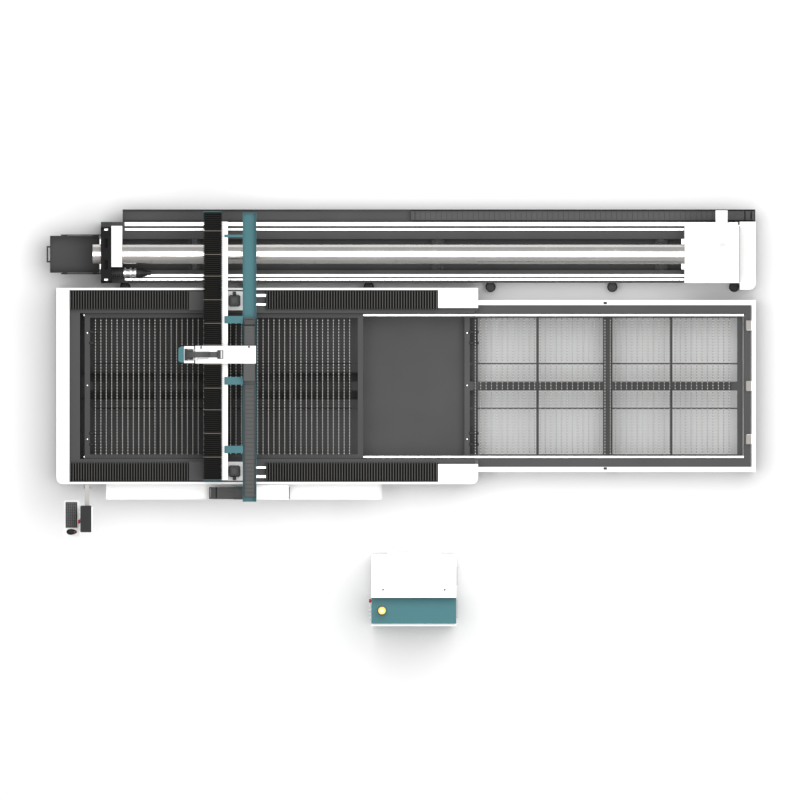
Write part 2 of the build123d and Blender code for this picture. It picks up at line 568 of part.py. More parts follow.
# Cabinet
CABINET_START = 3528
CABINET_WIDTH = 946
CABINET_BACK_V = -1876
CABINET_BASE = 60
REAR_SHELL_DEPTH = 487
REAR_SHELL_TOP = 1800
FRONT_SHELL_DEPTH = 291
FRONT_SHELL_TOP = 1650
CABINET_CORNER = 20
CABINET_WALL = 20
CABINET_BACK = 16
MODULE_COUNT = 4
MODULE_HEIGHT = 200
MODULE_DEPTH = 130
MODULE_INSET = 90
CABINET_FOOT_INSET = 60
CABINET_FOOT_RADIUS = 32
EYE_HOLE_INSET = 128
EYE_HOLE_REACH = 89
EYE_HOLE = (15, 24)
DOOR_Z = (150, 1600)
DOOR_THICKNESS = 27.7
DOOR_HANDLE_INSET = 52
DOOR_HANDLE = (30, 200, 12)
DOOR_HANDLE_BOTTOM = 820
FILTER = (202, 20)
FILTERS_REACH = (134, 34)
FILTERS_BOTTOM = (400, 1100)
LOUVRES = 3
LIGHT_PLACE = (118, 146)
LIGHT_BASE = (44, 30)
LIGHT_LENS = (38, 110)
LIGHT_SIDES = 16
CABINET_STOP_REACH = 39
CABINET_BUTTONS = 4
CABINET_BUTTON_PITCH = 47
CABINET_BUTTON_REACH = 51
CABINET_CONTROL_Z = 1420
CABINET_U = (CABINET_START, CABINET_START + CABINET_WIDTH)
REAR_SHELL_V = (CABINET_BACK_V - REAR_SHELL_DEPTH, CABINET_BACK_V)
FRONT_SHELL_V = (REAR_SHELL_V[0] - FRONT_SHELL_DEPTH, REAR_SHELL_V[0])
DOOR_BACK = FRONT_SHELL_V[0] - FIT_GAP
DOOR_V = (DOOR_BACK - DOOR_THICKNESS, DOOR_BACK)
FRONT_END = DOOR_V[0]
LIGHT_CENTRE = (CABINET_U[0] + LIGHT_PLACE[0], REAR_SHELL_V[0] - LIGHT_PLACE[1])
CABINET_STOP_V = REAR_SHELL_V[0] - CABINET_STOP_REACH
CABINET_BUTTONS_V = [
    CABINET_STOP_V - CABINET_BUTTON_REACH - i * CABINET_BUTTON_PITCH for i in range(CABINET_BUTTONS)
]
BUTTON_RADIUS = 15
STOP_RADIUS = 22
PRESS_TRAVEL = 5
PRESS_PROUD = 28
PRESS_NECK = 12
PRESS_NECK_LENGTH = 10
PRESS_NECK_GAP = 0.4


# Shared shapes
def block(u, v, z):
    """Box between two positions along each of u, v and z."""
    return Pos(middle(u), middle(v), middle(z)) * Box(length(u), length(v), length(z))


def upright(u, v, radius, z, sides=ROUND_SIDES):
    """Standing bar of many flat sides."""
    return Pos(u, v, z[0]) * extrude(RegularPolygon(radius, sides), length(z))


def crosswise(u, radius, v, z):
    """Many-sided bar along v."""
    return Pos(u, v[1], z) * Rot(90, 0, 0) * extrude(RegularPolygon(radius, ROUND_SIDES), length(v))


def lengthwise(axis, radius, u, sides=ROUND_SIDES):
    """Many-sided bar along u about an axis given as (v, z), its corners on the radius."""
    return Pos(u[0], *axis) * Rot(0, 90, 0) * extrude(RegularPolygon(radius, sides), length(u))


def clear_hole(axis, radius, u):
    """Many-sided hole along u whose flats stay clear of the radius, so that a bar can turn in it."""
    corner = radius / math.cos(math.pi / TURNING_SIDES)
    return lengthwise(axis, corner, u, TURNING_SIDES)


def lying(axis, radius, u):
    """Truly round bar along u about an axis given as (v, z)."""
    return Pos(middle(u), *axis) * Rot(0, 90, 0) * Cylinder(radius, length(u))


def prism_along_u(points, u):
    """Outline of (v, z) points drawn out along u."""
    outline = Wire.make_polygon([(u[0], v, z) for v, z in points], close=True)
    return Solid.extrude(Face(outline), Vector(length(u), 0, 0))


def prism_along_v(points, v):
    """Outline of (u, z) points drawn out along v."""
    outline = Wire.make_polygon([(u, v[0], z) for u, z in points], close=True)
    return Solid.extrude(Face(outline), Vector(0, length(v), 0))


def stacked(centre, rings):
    """Solid of flat sides through level rings round a centre, each given as (reach along u, reach along v, z)."""
    turns = [2 * math.pi * i / STACK_SIDES for i in range(STACK_SIDES)]
    u, v = centre
    levels = [[(u + a * math.cos(t), v + b * math.sin(t), z) for t in turns] for a, b, z in rings]
    outlines = [levels[0], levels[-1]]
    for low, high in zip(levels, levels[1:]):
        for i in range(STACK_SIDES):
            outlines.append([low[i - 1], low[i], high[i], high[i - 1]])
    return Solid(Shell([Face(Wire.make_polygon(outline, close=True)) for outline in outlines]))


def upright_edges(shape, left=None, front=None):
    """Standing edges of a box, narrowed to its left or right side and to its front or back side."""
    edges = shape.edges().filter_by(Axis.Z)
    if left is not None:
        edges = edges.group_by(Axis.X)[0 if left else -1]
    if front is not None:
        edges = edges.group_by(Axis.Y)[0 if front else -1]
    return edges


def both_sides(shape):
    """The shape and its mirror image across the bed's centre line."""
    return [shape, mirror(shape, about=Plane.XZ)]


def group(shapes):
    return Compound([solid for shape in shapes for solid in shape.solids()])


# Bed
def bed_frame():
    side = block(BEAM_U, (BED_INSIDE, BEAM_OUTSIDE), (FOOT_HEIGHT, BEAM_TOP))
    cross = block(CROSS_BEAM_U, (-BED_INSIDE, BED_INSIDE), (FOOT_HEIGHT, BEAM_TOP))
    tie_v = (BEAM_OUTSIDE, TUBE_FRONT_BEAM_V[0])
    ties = [block(u, tie_v, TIE_BAR_Z) for u in TIE_BARS_U]
    return group([*both_sides(side), cross, *ties])


def scrap_hopper():
    """Three bays of sloping plates with an open slot below, over a scrap tray; the middle bay is deeper."""
    whole = (CROSS_BEAM_U[1], OUTLET_START)
    splits = [whole[0] + share * length(whole) for share in HOPPER_SPLIT_SHARES]
    edges = [whole[0], *splits, whole[1]]
    bottoms = (HOPPER_SHALLOW, HOPPER_DEEP, HOPPER_SHALLOW)
    plates = []
    for u, bottom in zip(zip(edges, edges[1:]), bottoms):
        outline = [
            (BED_INSIDE, HOPPER_TOP),
            (BED_INSIDE, HOPPER_TOP - HOPPER_SHEET),
            (HOPPER_SLOT, bottom - HOPPER_SHEET),
            (HOPPER_SLOT, bottom),
        ]
        plates += both_sides(prism_along_u(outline, u))
    tray = block(whole, (-BED_INSIDE, BED_INSIDE), SCRAP_TRAY_Z)
    return group([*plates, tray])


def outlet_floor():
    under = HOPPER_TOP - HOPPER_SHEET
    floor = block(OUTLET_U, (-BED_INSIDE, BED_INSIDE), (under, HOPPER_TOP))
    rib_half = OUTLET_RIB_SIZE / 2
    for u in spread(inset(OUTLET_U, OUTLET_RIB_INSET, OUTLET_RIB_INSET), OUTLET_RIBS):
        floor += block(about(u, rib_half), (-BED_INSIDE, BED_INSIDE), (under - OUTLET_RIB_SIZE, under))
    return floor


def left_end_cover():
    u = (BED_U[0], BEAM_U[0])
    outer = block(u, (-BED_HALF, BED_HALF), (LEFT_COVER_BOTTOM, COVER_TOP))
    outer = fillet(upright_edges(outer, left=True, front=True), CORNER_RADIUS)
    inside = BED_HALF - SHEET
    room = block((u[0] + SHEET, u[1]), (-inside, inside), (LEFT_COVER_BOTTOM, COVER_TOP - SHEET))
    room = fillet(upright_edges(room, left=True, front=True), CORNER_RADIUS - SHEET)
    return outer - room


def side_covers():
    outline = [
        (BED_HALF - COVER_LIP, COVER_TOP),
        (BED_HALF, COVER_TOP),
        (BED_HALF, COVER_BOTTOM),
        (BED_HALF - SHEET, COVER_BOTTOM),
        (BED_HALF - SHEET, COVER_TOP - SHEET),
        (BED_HALF - COVER_LIP, COVER_TOP - SHEET),
    ]
    return group(both_sides(prism_along_u(outline, (BEAM_U[0], END_COVER_U[0]))))


def end_cover(front):
    """Folded cap over a side beam's right end, open below, to the left and towards the bed."""
    outer = block(END_COVER_U, (END_COVER_INSIDE, BED_HALF), (COVER_BOTTOM, COVER_TOP))
    room_u = (END_COVER_U[0], END_COVER_U[1] - SHEET)
    room = block(room_u, (END_COVER_INSIDE, BED_HALF - SHEET), (COVER_BOTTOM, COVER_TOP - SHEET))
    if front:
        outer = mirror(outer, about=Plane.XZ)
        room = mirror(room, about=Plane.XZ)
        outer = fillet(upright_edges(outer, left=False, front=True), CORNER_RADIUS)
        room = fillet(upright_edges(room, left=False, front=True), CORNER_RADIUS - SHEET)
    return outer - room


def linear_rails():
    rail_z = (BEAM_TOP, BEAM_TOP + RAIL_HEIGHT)
    rail = block(X_RAIL_U, about(X_RAIL_V, RAIL_WIDTH / 2), rail_z)
    rack = block(X_RAIL_U, about(X_RACK_V, X_RACK_WIDTH / 2), rail_z)
    return group([*both_sides(rail), *both_sides(rack)])


def pleats(span, z, pitch, fold):
    """Outline of a pleated cover: crests and valleys in turn over a flat underside."""
    count = round(length(span) / pitch)
    step = length(span) / (2 * count)
    ridge = [(span[0] + step * i, z[1] - fold * (i % 2)) for i in range(2 * count + 1)]
    return [(span[0], z[0]), *ridge, (span[1], z[0])]


def x_bellows():
    covers = []
    for u in X_BELLOWS_U:
        outline = pleats(u, BELLOWS_Z, X_BELLOWS_PITCH, BELLOWS_FOLD)
        covers += both_sides(prism_along_v(outline, BELLOWS_V))
    return group(covers)


def foot(u, v, top):
    disc = upright(u, v, FOOT_RADIUS, (0, FOOT_DISC), FOOT_SIDES)
    return disc + upright(u, v, STEM_RADIUS, (FOOT_DISC, top), STEM_SIDES)


def levelling_feet():
    feet = []
    for u in BED_FEET_U:
        feet += both_sides(foot(u, BED_FEET_V, FOOT_HEIGHT))
    for u in EXCHANGE_FEET_U:
        feet += both_sides(foot(u, middle(EXCHANGE_BEAM_V), FOOT_HEIGHT))
    feet += [foot(u, v, FOOT_HEIGHT) for u in TUBE_FEET_U for v in TUBE_FEET_V]
    return group(feet)


# Exchange table
def exchange_frame():
    side = block(EXCHANGE_U, EXCHANGE_BEAM_V, EXCHANGE_BEAM_Z)
    end = block(EXCHANGE_END_U, (-BED_INSIDE, BED_INSIDE), EXCHANGE_BEAM_Z)
    pieces = [*both_sides(side), end]
    for u in EXCHANGE_FEET_U:
        leg_z = (FOOT_HEIGHT, EXCHANGE_BEAM_Z[0])
        pieces += both_sides(block(about(u, EXCHANGE_LEG / 2), EXCHANGE_BEAM_V, leg_z))
    for top in TRACK_TOPS:
        under = top - TRACK_HEIGHT
        shelf = block(TRACK_U, (TRACK_V[0], BED_INSIDE), (under - TRACK_SHELF, under))
        pieces += both_sides(shelf)
    return group(pieces)


def track_rails():
    rails = []
    for top in TRACK_TOPS:
        rails += both_sides(block(TRACK_U, TRACK_V, (top - TRACK_HEIGHT, top)))
    return group(rails)


def exchange_covers():
    """White side panels folded over their beams, with the end strip and its stop blocks."""
    low, high = EXCHANGE_COVER_Z
    inside, outside = EXCHANGE_BEAM_V[1], EXCHANGE_COVER_OUTSIDE
    outline = [
        (inside, high),
        (outside, high),
        (outside, low),
        (outside - SHEET, low),
        (outside - SHEET, high - SHEET),
        (inside, high - SHEET),
    ]
    panel_u = (BED_U[1], EXCHANGE_STRIP_U[0])
    panels = both_sides(prism_along_u(outline, panel_u))
    strip = block(EXCHANGE_STRIP_U, (-outside, outside), (low, high))
    room_u = (EXCHANGE_STRIP_U[0], EXCHANGE_STRIP_U[1] - SHEET)
    strip -= block(room_u, (SHEET - outside, outside - SHEET), (low, high - SHEET))
    stop_v = STOP_BLOCK_SIZE[0] / 2
    stop_z = (EXCHANGE_BEAM_Z[1], EXCHANGE_BEAM_Z[1] + STOP_BLOCK_SIZE[1])
    places = [share * BED_INSIDE for share in STOP_BLOCK_PLACE_SHARES]
    stops = [block(STOP_BLOCK_U, about(v, stop_v), stop_z) for v in places]
    return group([*panels, strip, *stops])


def pallet_frame(start, track):
    """Welded bars on four wheels a side, which run on the tracks."""
    end = start + PALLET_LENGTH
    axle = track + WHEEL_RADIUS + FIT_GAP
    bar_z = (axle, axle + PALLET_BAR_HEIGHT)
    bearer_z = (axle, axle + PALLET_BEARER_HEIGHT)
    inside = PALLET_HALF - PALLET_BAR
    wheel_v = about(middle(TRACK_V), WHEEL_WIDTH / 2)
    side = block((start, end), (inside, PALLET_HALF), bar_z)
    for share in WHEEL_SHARES:
        side += crosswise(start + share * PALLET_LENGTH, WHEEL_RADIUS, wheel_v, axle)
    ends = [(start, start + PALLET_END_BAR), (end - PALLET_END_BAR, end)]
    bars = [block(u, (-inside, inside), bar_z) for u in ends]
    bearers = Part()
    for place, width in PALLET_CROSS:
        bearers += block(about(start + place, width / 2), (-inside, inside), bearer_z)
    between = (ends[0][1], ends[1][0])
    bearers += block(between, about(0, PALLET_CENTRE_HALF), bearer_z)
    tie_z = (bearer_z[1] - PALLET_TIE, bearer_z[1])
    for v in (-PALLET_TIE_V, PALLET_TIE_V):
        bearers += block(between, about(v, PALLET_TIE / 2), tie_z)
    return group([*both_sides(side), *bars, bearers])


def pallet_slats(start, track):
    first = start + PALLET_END_BAR + SLAT_PITCH
    z = raised((SLAT_BOTTOM, SLAT_BOTTOM + SLAT_HEIGHT), track)
    slats = []
    for i in range(SLAT_COUNT):
        u = about(first + i * SLAT_PITCH, SLAT_THICKNESS / 2)
        slats.append(block(u, (-SLAT_HALF, SLAT_HALF), z))
    return group(slats)


# Gantry
def guide_block(centre, half, u, bottom, top, rail_top):
    """Block that straddles a rail running along u at v = centre, with a small running gap."""
    body = block(u, about(centre, half), (bottom, top))
    slot_half = RAIL_WIDTH / 2 + RUNNING_GAP
    return body - block(u, about(centre, slot_half), (bottom, rail_top + RUNNING_GAP))


def end_blocks(span, gap, size):
    """Two equal lengths, one near each end of a span."""
    first, last = inset(span, gap, gap)
    return [(first, first + size), (last - size, last)]


def gantry_saddles():
    """Saddle, riser and guide blocks on each side, with the cross rails on the beam."""
    saddle = block(SADDLE_U, SADDLE_V, SADDLE_Z)
    saddle += block(GANTRY_BEAM_U, SADDLE_V, (SADDLE_Z[1], GANTRY_BEAM_Z[0]))
    rail_top = BEAM_TOP + RAIL_HEIGHT
    for u in end_blocks(SADDLE_U, GUIDE_BLOCK_INSET, GUIDE_BLOCK_LENGTH):
        saddle += guide_block(
            X_RAIL_V, GUIDE_BLOCK_HALF, u, GUIDE_BLOCK_BOTTOM, SADDLE_Z[0], rail_top
        )
    rail_z = (GANTRY_BEAM_Z[1], GANTRY_BEAM_Z[1] + RAIL_HEIGHT)
    rails = [block(about(u, RAIL_WIDTH / 2), Y_RAIL_V, rail_z) for u in Y_RAILS_U]
    return group([*both_sides(saddle), *rails])


def gantry_beam():
    """Cast beam with a row of shallow lightening pockets on both long sides."""
    beam = block(GANTRY_BEAM_U, GANTRY_BEAM_V, GANTRY_BEAM_Z)
    count = int(length(GANTRY_BEAM_V) // GANTRY_PORT_PITCH)
    first = middle(GANTRY_BEAM_V) - GANTRY_PORT_PITCH * (count - 1) / 2
    port_z = about(middle(GANTRY_BEAM_Z), GANTRY_PORT[0] / 2)
    sides = (
        (GANTRY_BEAM_U[0], GANTRY_BEAM_U[0] + GANTRY_BEAM_WALL),
        (GANTRY_BEAM_U[1] - GANTRY_BEAM_WALL, GANTRY_BEAM_U[1]),
    )
    for i in range(count):
        port_v = about(first + i * GANTRY_PORT_PITCH, GANTRY_PORT[1] / 2)
        for u in sides:
            beam -= block(u, port_v, port_z)
    return beam


def gantry_end_plates():
    """White plates that carry the drive motors, with the guard over the long chain's moving end."""
    plate = block(END_PLATE_U, SADDLE_V, END_PLATE_Z)
    top = CHAIN_BRACKET_Z[1]
    guard = block(CHAIN_GUARD_U, inset(X_TROUGH_V, 0, CHAIN_GUARD_GAP), (top - SHEET, top))
    lip_z = (X_CHAIN_Z[1], top - SHEET)
    guard += block(CHAIN_CLAMP_U, X_CHAIN_V, lip_z)
    return group([*both_sides(plate), guard])


def x_servo_motors():
    """Flange, body and encoder cap with cut corners, stacked on each end plate."""
    u, v = SERVO_CENTRE
    motor = Part()
    bottom = END_PLATE_Z[1]
    for size, height in (SERVO_FLANGE, SERVO_BODY, SERVO_CAP):
        stage = block(about(u, size / 2), about(v, size / 2), (bottom, bottom + height))
        motor += chamfer(upright_edges(stage), SERVO_CORNER)
        bottom += height
    return group(both_sides(motor))


def y_bellows():
    covers = []
    for v in Y_BELLOWS_V:
        outline = pleats(v, Y_BELLOWS_Z, Y_BELLOWS_PITCH, Y_BELLOWS_FOLD)
        covers.append(prism_along_u(outline, Y_BELLOWS_U))
    return group(covers)


def cable_tray():
    """Channel behind the beam on its brackets, with the long chain's hanger and bracket below it."""
    brackets = []
    for place, width in TRAY_BRACKET_PLACES:
        brackets.append(block(TRAY_BRACKET_U, (place, place + width), TRAY_BRACKET_Z))
    low, high = CHAIN_BRACKET_Z
    hanger_v = about(middle(X_CHAIN_V), CHAIN_HANGER_HALF)
    hanger = block(CHAIN_HANGER_U, hanger_v, (high, CABLE_TRAY_Z[0]))
    bracket = block((CABLE_TRAY_U[0], CHAIN_BRACKET_U[1]), CHAIN_BRACKET_V, (high - SHEET, high))
    front, back = CHAIN_BRACKET_V
    for v in ((front, front + SHEET), (back - SHEET, back)):
        bracket += block(CHAIN_BRACKET_U, v, CHAIN_BRACKET_Z)
    tray = channel(CABLE_TRAY_U, CABLE_TRAY_V, CABLE_TRAY_Z)
    return group([tray, *brackets, hanger, bracket, *bellows_walls()])


def bellows_walls():
    """End walls that the cross bellows hang from, the back one on a shelf beyond the beam."""
    first, last = Y_BELLOWS_V[0][0], Y_BELLOWS_V[1][1]
    front = block(Y_BELLOWS_U, (first - Y_BELLOWS_WALL, first), Y_BELLOWS_WALL_Z)
    back_v = (last, last + Y_BELLOWS_WALL)
    back = block(Y_BELLOWS_U, back_v, Y_BELLOWS_WALL_Z)
    top = GANTRY_BEAM_Z[1]
    back += block(Y_BELLOWS_U, (GANTRY_BEAM_V[1], back_v[1]), (top - Y_BELLOWS_SHELF, top))
    return [front, back]


# Drag chains
def chain_run(start, end, level, inward):
    """Outer edge of a straight run of links, with a notch where two links meet."""
    way = 1 if end > start else -1
    width, depth = CHAIN_NOTCH
    points = [(start, level)]
    for i in range(1, int(abs(end - start) // CHAIN_PITCH)):
        place = start + way * i * CHAIN_PITCH
        bottom = level + inward * depth
        before = place - way * width / 2
        after = place + way * width / 2
        points += [(before, level), (before, bottom), (after, bottom), (after, level)]
    return points


def chain_bend(centre, way, level, radius):
    """Half circle of straight links from the lower run to the upper one."""
    turns = [math.pi * i / CHAIN_BEND_LINKS for i in range(CHAIN_BEND_LINKS + 1)]
    return [(centre + way * radius * math.sin(a), level - radius * math.cos(a)) for a in turns]


def chain_outline(ends, tip, z, thick):
    """A lower run from the fixed end, a bend at the tip and an upper run back to the moving end."""
    fixed, moving = ends
    radius = length(z) / 2
    way = 1 if tip > fixed else -1
    centre = tip - way * radius
    level = middle(z)
    lower = chain_run(fixed, centre, z[0], 1)
    upper = chain_run(moving, centre, z[1], -1)
    outer = chain_bend(centre, way, level, radius)
    inner = chain_bend(centre, way, level, radius - thick)
    moving_end = (moving, z[1] - thick)
    fixed_end = (fixed, z[0] + thick)
    return [*lower, *outer, *reversed(upper), moving_end, *reversed(inner), fixed_end]


def x_drag_chain():
    outline = chain_outline(X_CHAIN_ENDS, X_CHAIN_LOOP_U, X_CHAIN_Z, X_CHAIN_THICK)
    return prism_along_v(outline, X_CHAIN_V)


def y_drag_chain():
    outline = chain_outline(Y_CHAIN_ENDS, Y_CHAIN_LOOP_V, Y_CHAIN_Z, Y_CHAIN_THICK)
    return prism_along_u(outline, Y_CHAIN_U)


def feed_drag_chain():
    outline = chain_outline(FEED_CHAIN_ENDS, FEED_CHAIN_LOOP_U, FEED_CHAIN_Z, FEED_CHAIN_THICK)
    return prism_along_v(outline, FEED_CHAIN_V)


def z_drag_chain():
    """Arch of links from the carriage up and over to the head's cover."""
    right, left = Z_CHAIN_START[0], Z_CHAIN_FOOT[0]
    base = Z_CHAIN_FOOT[1]
    reach = (right - left) / 2
    rise = Z_CHAIN_RISE
    turns = [math.pi * i / CHAIN_BEND_LINKS for i in range(CHAIN_BEND_LINKS + 1)]
    outer = [(left + reach + reach * math.cos(a), base + rise * math.sin(a)) for a in turns]
    inner_reach = reach - Z_CHAIN_THICK
    inner_rise = rise - Z_CHAIN_THICK
    inner = [(left + reach + inner_reach * math.cos(a), base + inner_rise * math.sin(a)) for a in turns]
    leg = [(right - Z_CHAIN_THICK, Z_CHAIN_START[1]), (right, Z_CHAIN_START[1])]
    return prism_along_v([*leg, *outer, *reversed(inner)], Z_CHAIN_V)


def channel(u, v, z):
    """Open-topped sheet channel with closed ends."""
    inside_u = (u[0] + SHEET, u[1] - SHEET)
    inside_v = (v[0] + SHEET, v[1] - SHEET)
    return block(u, v, z) - block(inside_u, inside_v, (z[0] + SHEET, z[1]))


def x_chain_trough():
    return channel(X_TROUGH_U, X_TROUGH_V, X_TROUGH_Z)


def feed_chain_tray():
    """Channel along the tube bed's back with the chain's anchor and a raised guide before it."""
    tray = channel(FEED_TRAY_U, FEED_TRAY_V, FEED_TRAY_Z)
    floor = FEED_TRAY_Z[0] + SHEET
    tray += block(ANCHOR_U, FEED_CHAIN_V, (floor, floor + ANCHOR_HEIGHT))
    guide_u = (FEED_TRAY_U[0] + SHEET, FEED_TRAY_U[0] + FEED_GUIDE_SHARE * length(FEED_TRAY_U))
    tray += block(guide_u, FEED_CHAIN_V, (floor, floor + FEED_GUIDE_HEIGHT))
    return tray


# Carriage and head
def carriage_plate():
    plate = block(CARRIAGE_U, CARRIAGE_V, CARRIAGE_Z)
    plate += block(BACK_PLATE_U, CARRIAGE_V, BACK_PLATE_Z)
    for v in Z_RAILS_V:
        plate += block(Z_RAIL_U, about(v, Z_RAIL_HALF), BACK_PLATE_Z)
    rail_top = GANTRY_BEAM_Z[1] + RAIL_HEIGHT
    bottom = GANTRY_BEAM_Z[1] + RAIL_HEIGHT / 4
    slot_half = RAIL_WIDTH / 2 + RUNNING_GAP
    for u in Y_RAILS_U:
        for v in end_blocks(CARRIAGE_V, CARRIAGE_BLOCK_INSET, CARRIAGE_BLOCK_LENGTH):
            shoe = block(about(u, CARRIAGE_BLOCK_HALF), v, (bottom, CARRIAGE_Z[0]))
            plate += shoe - block(about(u, slot_half), v, (bottom, rail_top + RUNNING_GAP))
    return plate + block(CHAIN_ARM_U, CHAIN_ARM_V, CHAIN_ARM_Z)


def cutting_head():
    """Nozzle, ceramic holder, lens barrel and collimator stacked about the beam's axis."""
    profile = [*HEAD_PROFILE, (HEAD_PROFILE[-1][0], HEAD_COVER_Z[0])]
    return stacked(HEAD_AXIS, [(radius, radius, z) for radius, z in profile])


def head_cover():
    return block(HEAD_COVER_U, HEAD_COVER_V, HEAD_COVER_Z)


def head_cap():
    cap = block(HEAD_CAP_U, HEAD_CAP_V, HEAD_CAP_Z)
    return chamfer(upright_edges(cap, left=True), HEAD_CORNER)


# Tube bed
def tube_bed_frame():
    """Two long beams, the floor between them, guide bars beside each lifting post and the drawer's stand."""
    inside = (TUBE_FRONT_BEAM_V[1], TUBE_BACK_BEAM_V[0])
    pieces = [block(TUBE_BED_U, v, TUBE_BED_Z) for v in (TUBE_FRONT_BEAM_V, TUBE_BACK_BEAM_V)]
    near = POST_RADIUS + FIT_GAP
    far = near + GUIDE_BAR_WIDTH
    bar_z = (TUBE_FLOOR_Z[1], TUBE_FLOOR_Z[1] + GUIDE_BAR_HEIGHT)
    edges = [TUBE_BED_U[0]]
    for u in SUPPORTS_U:
        pieces.append(block((u - far, u - near), inside, bar_z))
        pieces.append(block((u + near, u + far), inside, bar_z))
        edges += [u - far, u + far]
    edges.append(TUBE_BED_U[1])
    for start, end in zip(edges[::2], edges[1::2]):
        pieces.append(block((start, end), inside, TUBE_FLOOR_Z))
    lug_z = (FOOT_HEIGHT, FOOT_HEIGHT + FOOT_LUG_HEIGHT)
    for u in TUBE_FEET_U:
        lug_v = (TUBE_FEET_V[0] - STEM_RADIUS, TUBE_FRONT_BEAM_V[0])
        pieces.append(block(about(u, FOOT_LUG / 2), lug_v, lug_z))
    return group([*pieces, *drawer_stand()])


def tube_rails():
    top = TUBE_BED_Z[1]
    rails = [block(TUBE_RAIL_U, about(v, RAIL_WIDTH / 2), (top, top + RAIL_HEIGHT)) for v in TUBE_RAILS_V]
    strips = [block(TUBE_RAIL_U, v, (top, top + TUBE_STRIP_HEIGHT)) for v in TUBE_STRIPS_V]
    return [*rails, *strips]


def all_rails():
    return group([linear_rails(), *tube_rails()])


def tube_bed_end_cover():
    u = (TUBE_BED_U[1], RIGHT_END)
    cover = block(u, TUBE_END_PLATE_V, TUBE_END_PLATE_Z)
    cover = fillet(upright_edges(cover, left=False, front=True), CORNER_RADIUS)
    room_u = (u[0], u[1] - SHEET)
    room_v = (TUBE_END_PLATE_V[0] + SHEET, TUBE_END_PLATE_V[1] - SHEET)
    room = block(room_u, room_v, (TUBE_END_PLATE_Z[0], TUBE_END_PLATE_Z[1] - SHEET))
    return cover - fillet(upright_edges(room, left=False, front=True), CORNER_RADIUS - SHEET)


def chuck_jaws(u, inside):
    """Jaws spaced evenly round the spindle, reaching in to the tube."""
    jaws = Part()
    v, z = TUBE_AXIS
    radial, width = JAW
    for i in range(JAW_COUNT):
        turn = Rot(360 * i / JAW_COUNT, 0, 0)
        jaw = block(about(0, length(u) / 2), about(0, width / 2), (inside, inside + radial))
        jaws += Pos(middle(u), v, z) * turn * jaw
    return jaws


def front_chuck_plate():
    plate = block(FRONT_PLATE_U, FRONT_PLATE_V, FRONT_PLATE_Z)
    top_edges = plate.edges().filter_by(Axis.X).group_by(Axis.Z)[-1]
    plate = fillet(top_edges, PLATE_CORNER)
    wide, long, deep = PLATE_SLOT
    for way in (-1, 1):
        slot_v = about(TUBE_AXIS[0] + way * PLATE_SLOT_REACH, long / 2)
        slot_u = about(middle(FRONT_PLATE_U), wide / 2)
        plate -= block(slot_u, slot_v, (FRONT_PLATE_TOP - deep, FRONT_PLATE_TOP))
    return plate - clear_hole(TUBE_AXIS, SPINDLE_RADIUS + FIT_GAP, FRONT_PLATE_U)


def front_chuck_cover():
    cover = block(FRONT_COVER_U, FRONT_COVER_V, FRONT_COVER_Z)
    room_u = (FRONT_COVER_U[0], FRONT_COVER_U[1] - SHEET)
    room_v = (FRONT_COVER_V[0] + SHEET, FRONT_COVER_V[1] - SHEET)
    cover -= block(room_u, room_v, (FRONT_COVER_Z[0], FRONT_COVER_Z[1] - SHEET))
    return cover - clear_hole(TUBE_AXIS, TUBE_RADIUS + COVER_HOLE_GAP, FRONT_COVER_U)


def front_spindle():
    spindle = lengthwise(TUBE_AXIS, SPINDLE_RADIUS, FRONT_SPINDLE_U, TURNING_SIDES)
    spindle += lengthwise(TUBE_AXIS, FRONT_HUB_RADIUS, FRONT_HUB_U, TURNING_SIDES)
    spindle -= clear_hole(TUBE_AXIS, SPINDLE_BORE, (FRONT_SPINDLE_U[0], FRONT_HUB_U[1]))
    return spindle + chuck_jaws(FRONT_JAW_U, TUBE_RADIUS + FIT_GAP)


def chuck_drive():
    """Coupling, gearbox and motor in line, on a foot under the gearbox."""
    drive = Part()
    place = FRONT_PLATE_U[1]
    starts = []
    for size, radius in DRIVE_STAGES:
        drive += lengthwise(DRIVE_AXIS, radius, (place, place + size))
        starts.append(place)
        place += size
    foot_length, foot_half = DRIVE_FOOT
    foot_start = starts[1] + DRIVE_FOOT_SHARE * DRIVE_STAGES[1][0]
    bottom = TUBE_BED_Z[1] + TUBE_STRIP_HEIGHT
    foot_v = about(DRIVE_AXIS[0], foot_half)
    return drive + block((foot_start, foot_start + foot_length), foot_v, (bottom, DRIVE_AXIS[1]))


def rear_chuck_saddle():
    """Bridge plate bolted on four guide blocks, with the spindle's bearing housing on it."""
    pieces = [block(REAR_SADDLE_U, REAR_SADDLE_V, REAR_SADDLE_Z)]
    rail_top = TUBE_BED_Z[1] + RAIL_HEIGHT
    for v in TUBE_RAILS_V:
        for u in end_blocks(REAR_SADDLE_U, REAR_FOOT_INSET, REAR_FOOT_LENGTH):
            pieces.append(guide_block(v, REAR_FOOT_HALF, u, REAR_FOOT_BOTTOM, REAR_SADDLE_Z[0], rail_top))
    bearing_v = about(TUBE_AXIS[0], REAR_BEARING_HALF)
    bearing = block(REAR_BEARING_U, bearing_v, (REAR_SADDLE_Z[1], REAR_BEARING_TOP))
    pieces.append(bearing - clear_hole(TUBE_AXIS, SPINDLE_RADIUS + FIT_GAP, REAR_BEARING_U))
    return group(pieces)


def rear_cover_body(wall):
    """Cover's outside, or its room when a wall is given: a high box with one low front corner."""
    u = (REAR_SADDLE_U[0] + wall, REAR_SADDLE_U[1] - wall)
    v = (REAR_COVER_V[0] + wall, REAR_COVER_V[1] - wall)
    low = REAR_COVER_Z[0]
    high = (low, REAR_COVER_Z[1] - wall)
    body = block(u, (REAR_STEP_V + wall, v[1]), high)
    body += block((REAR_STEP_U + wall, u[1]), v, high)
    return body + block(u, v, (low, REAR_STEP_Z - wall))


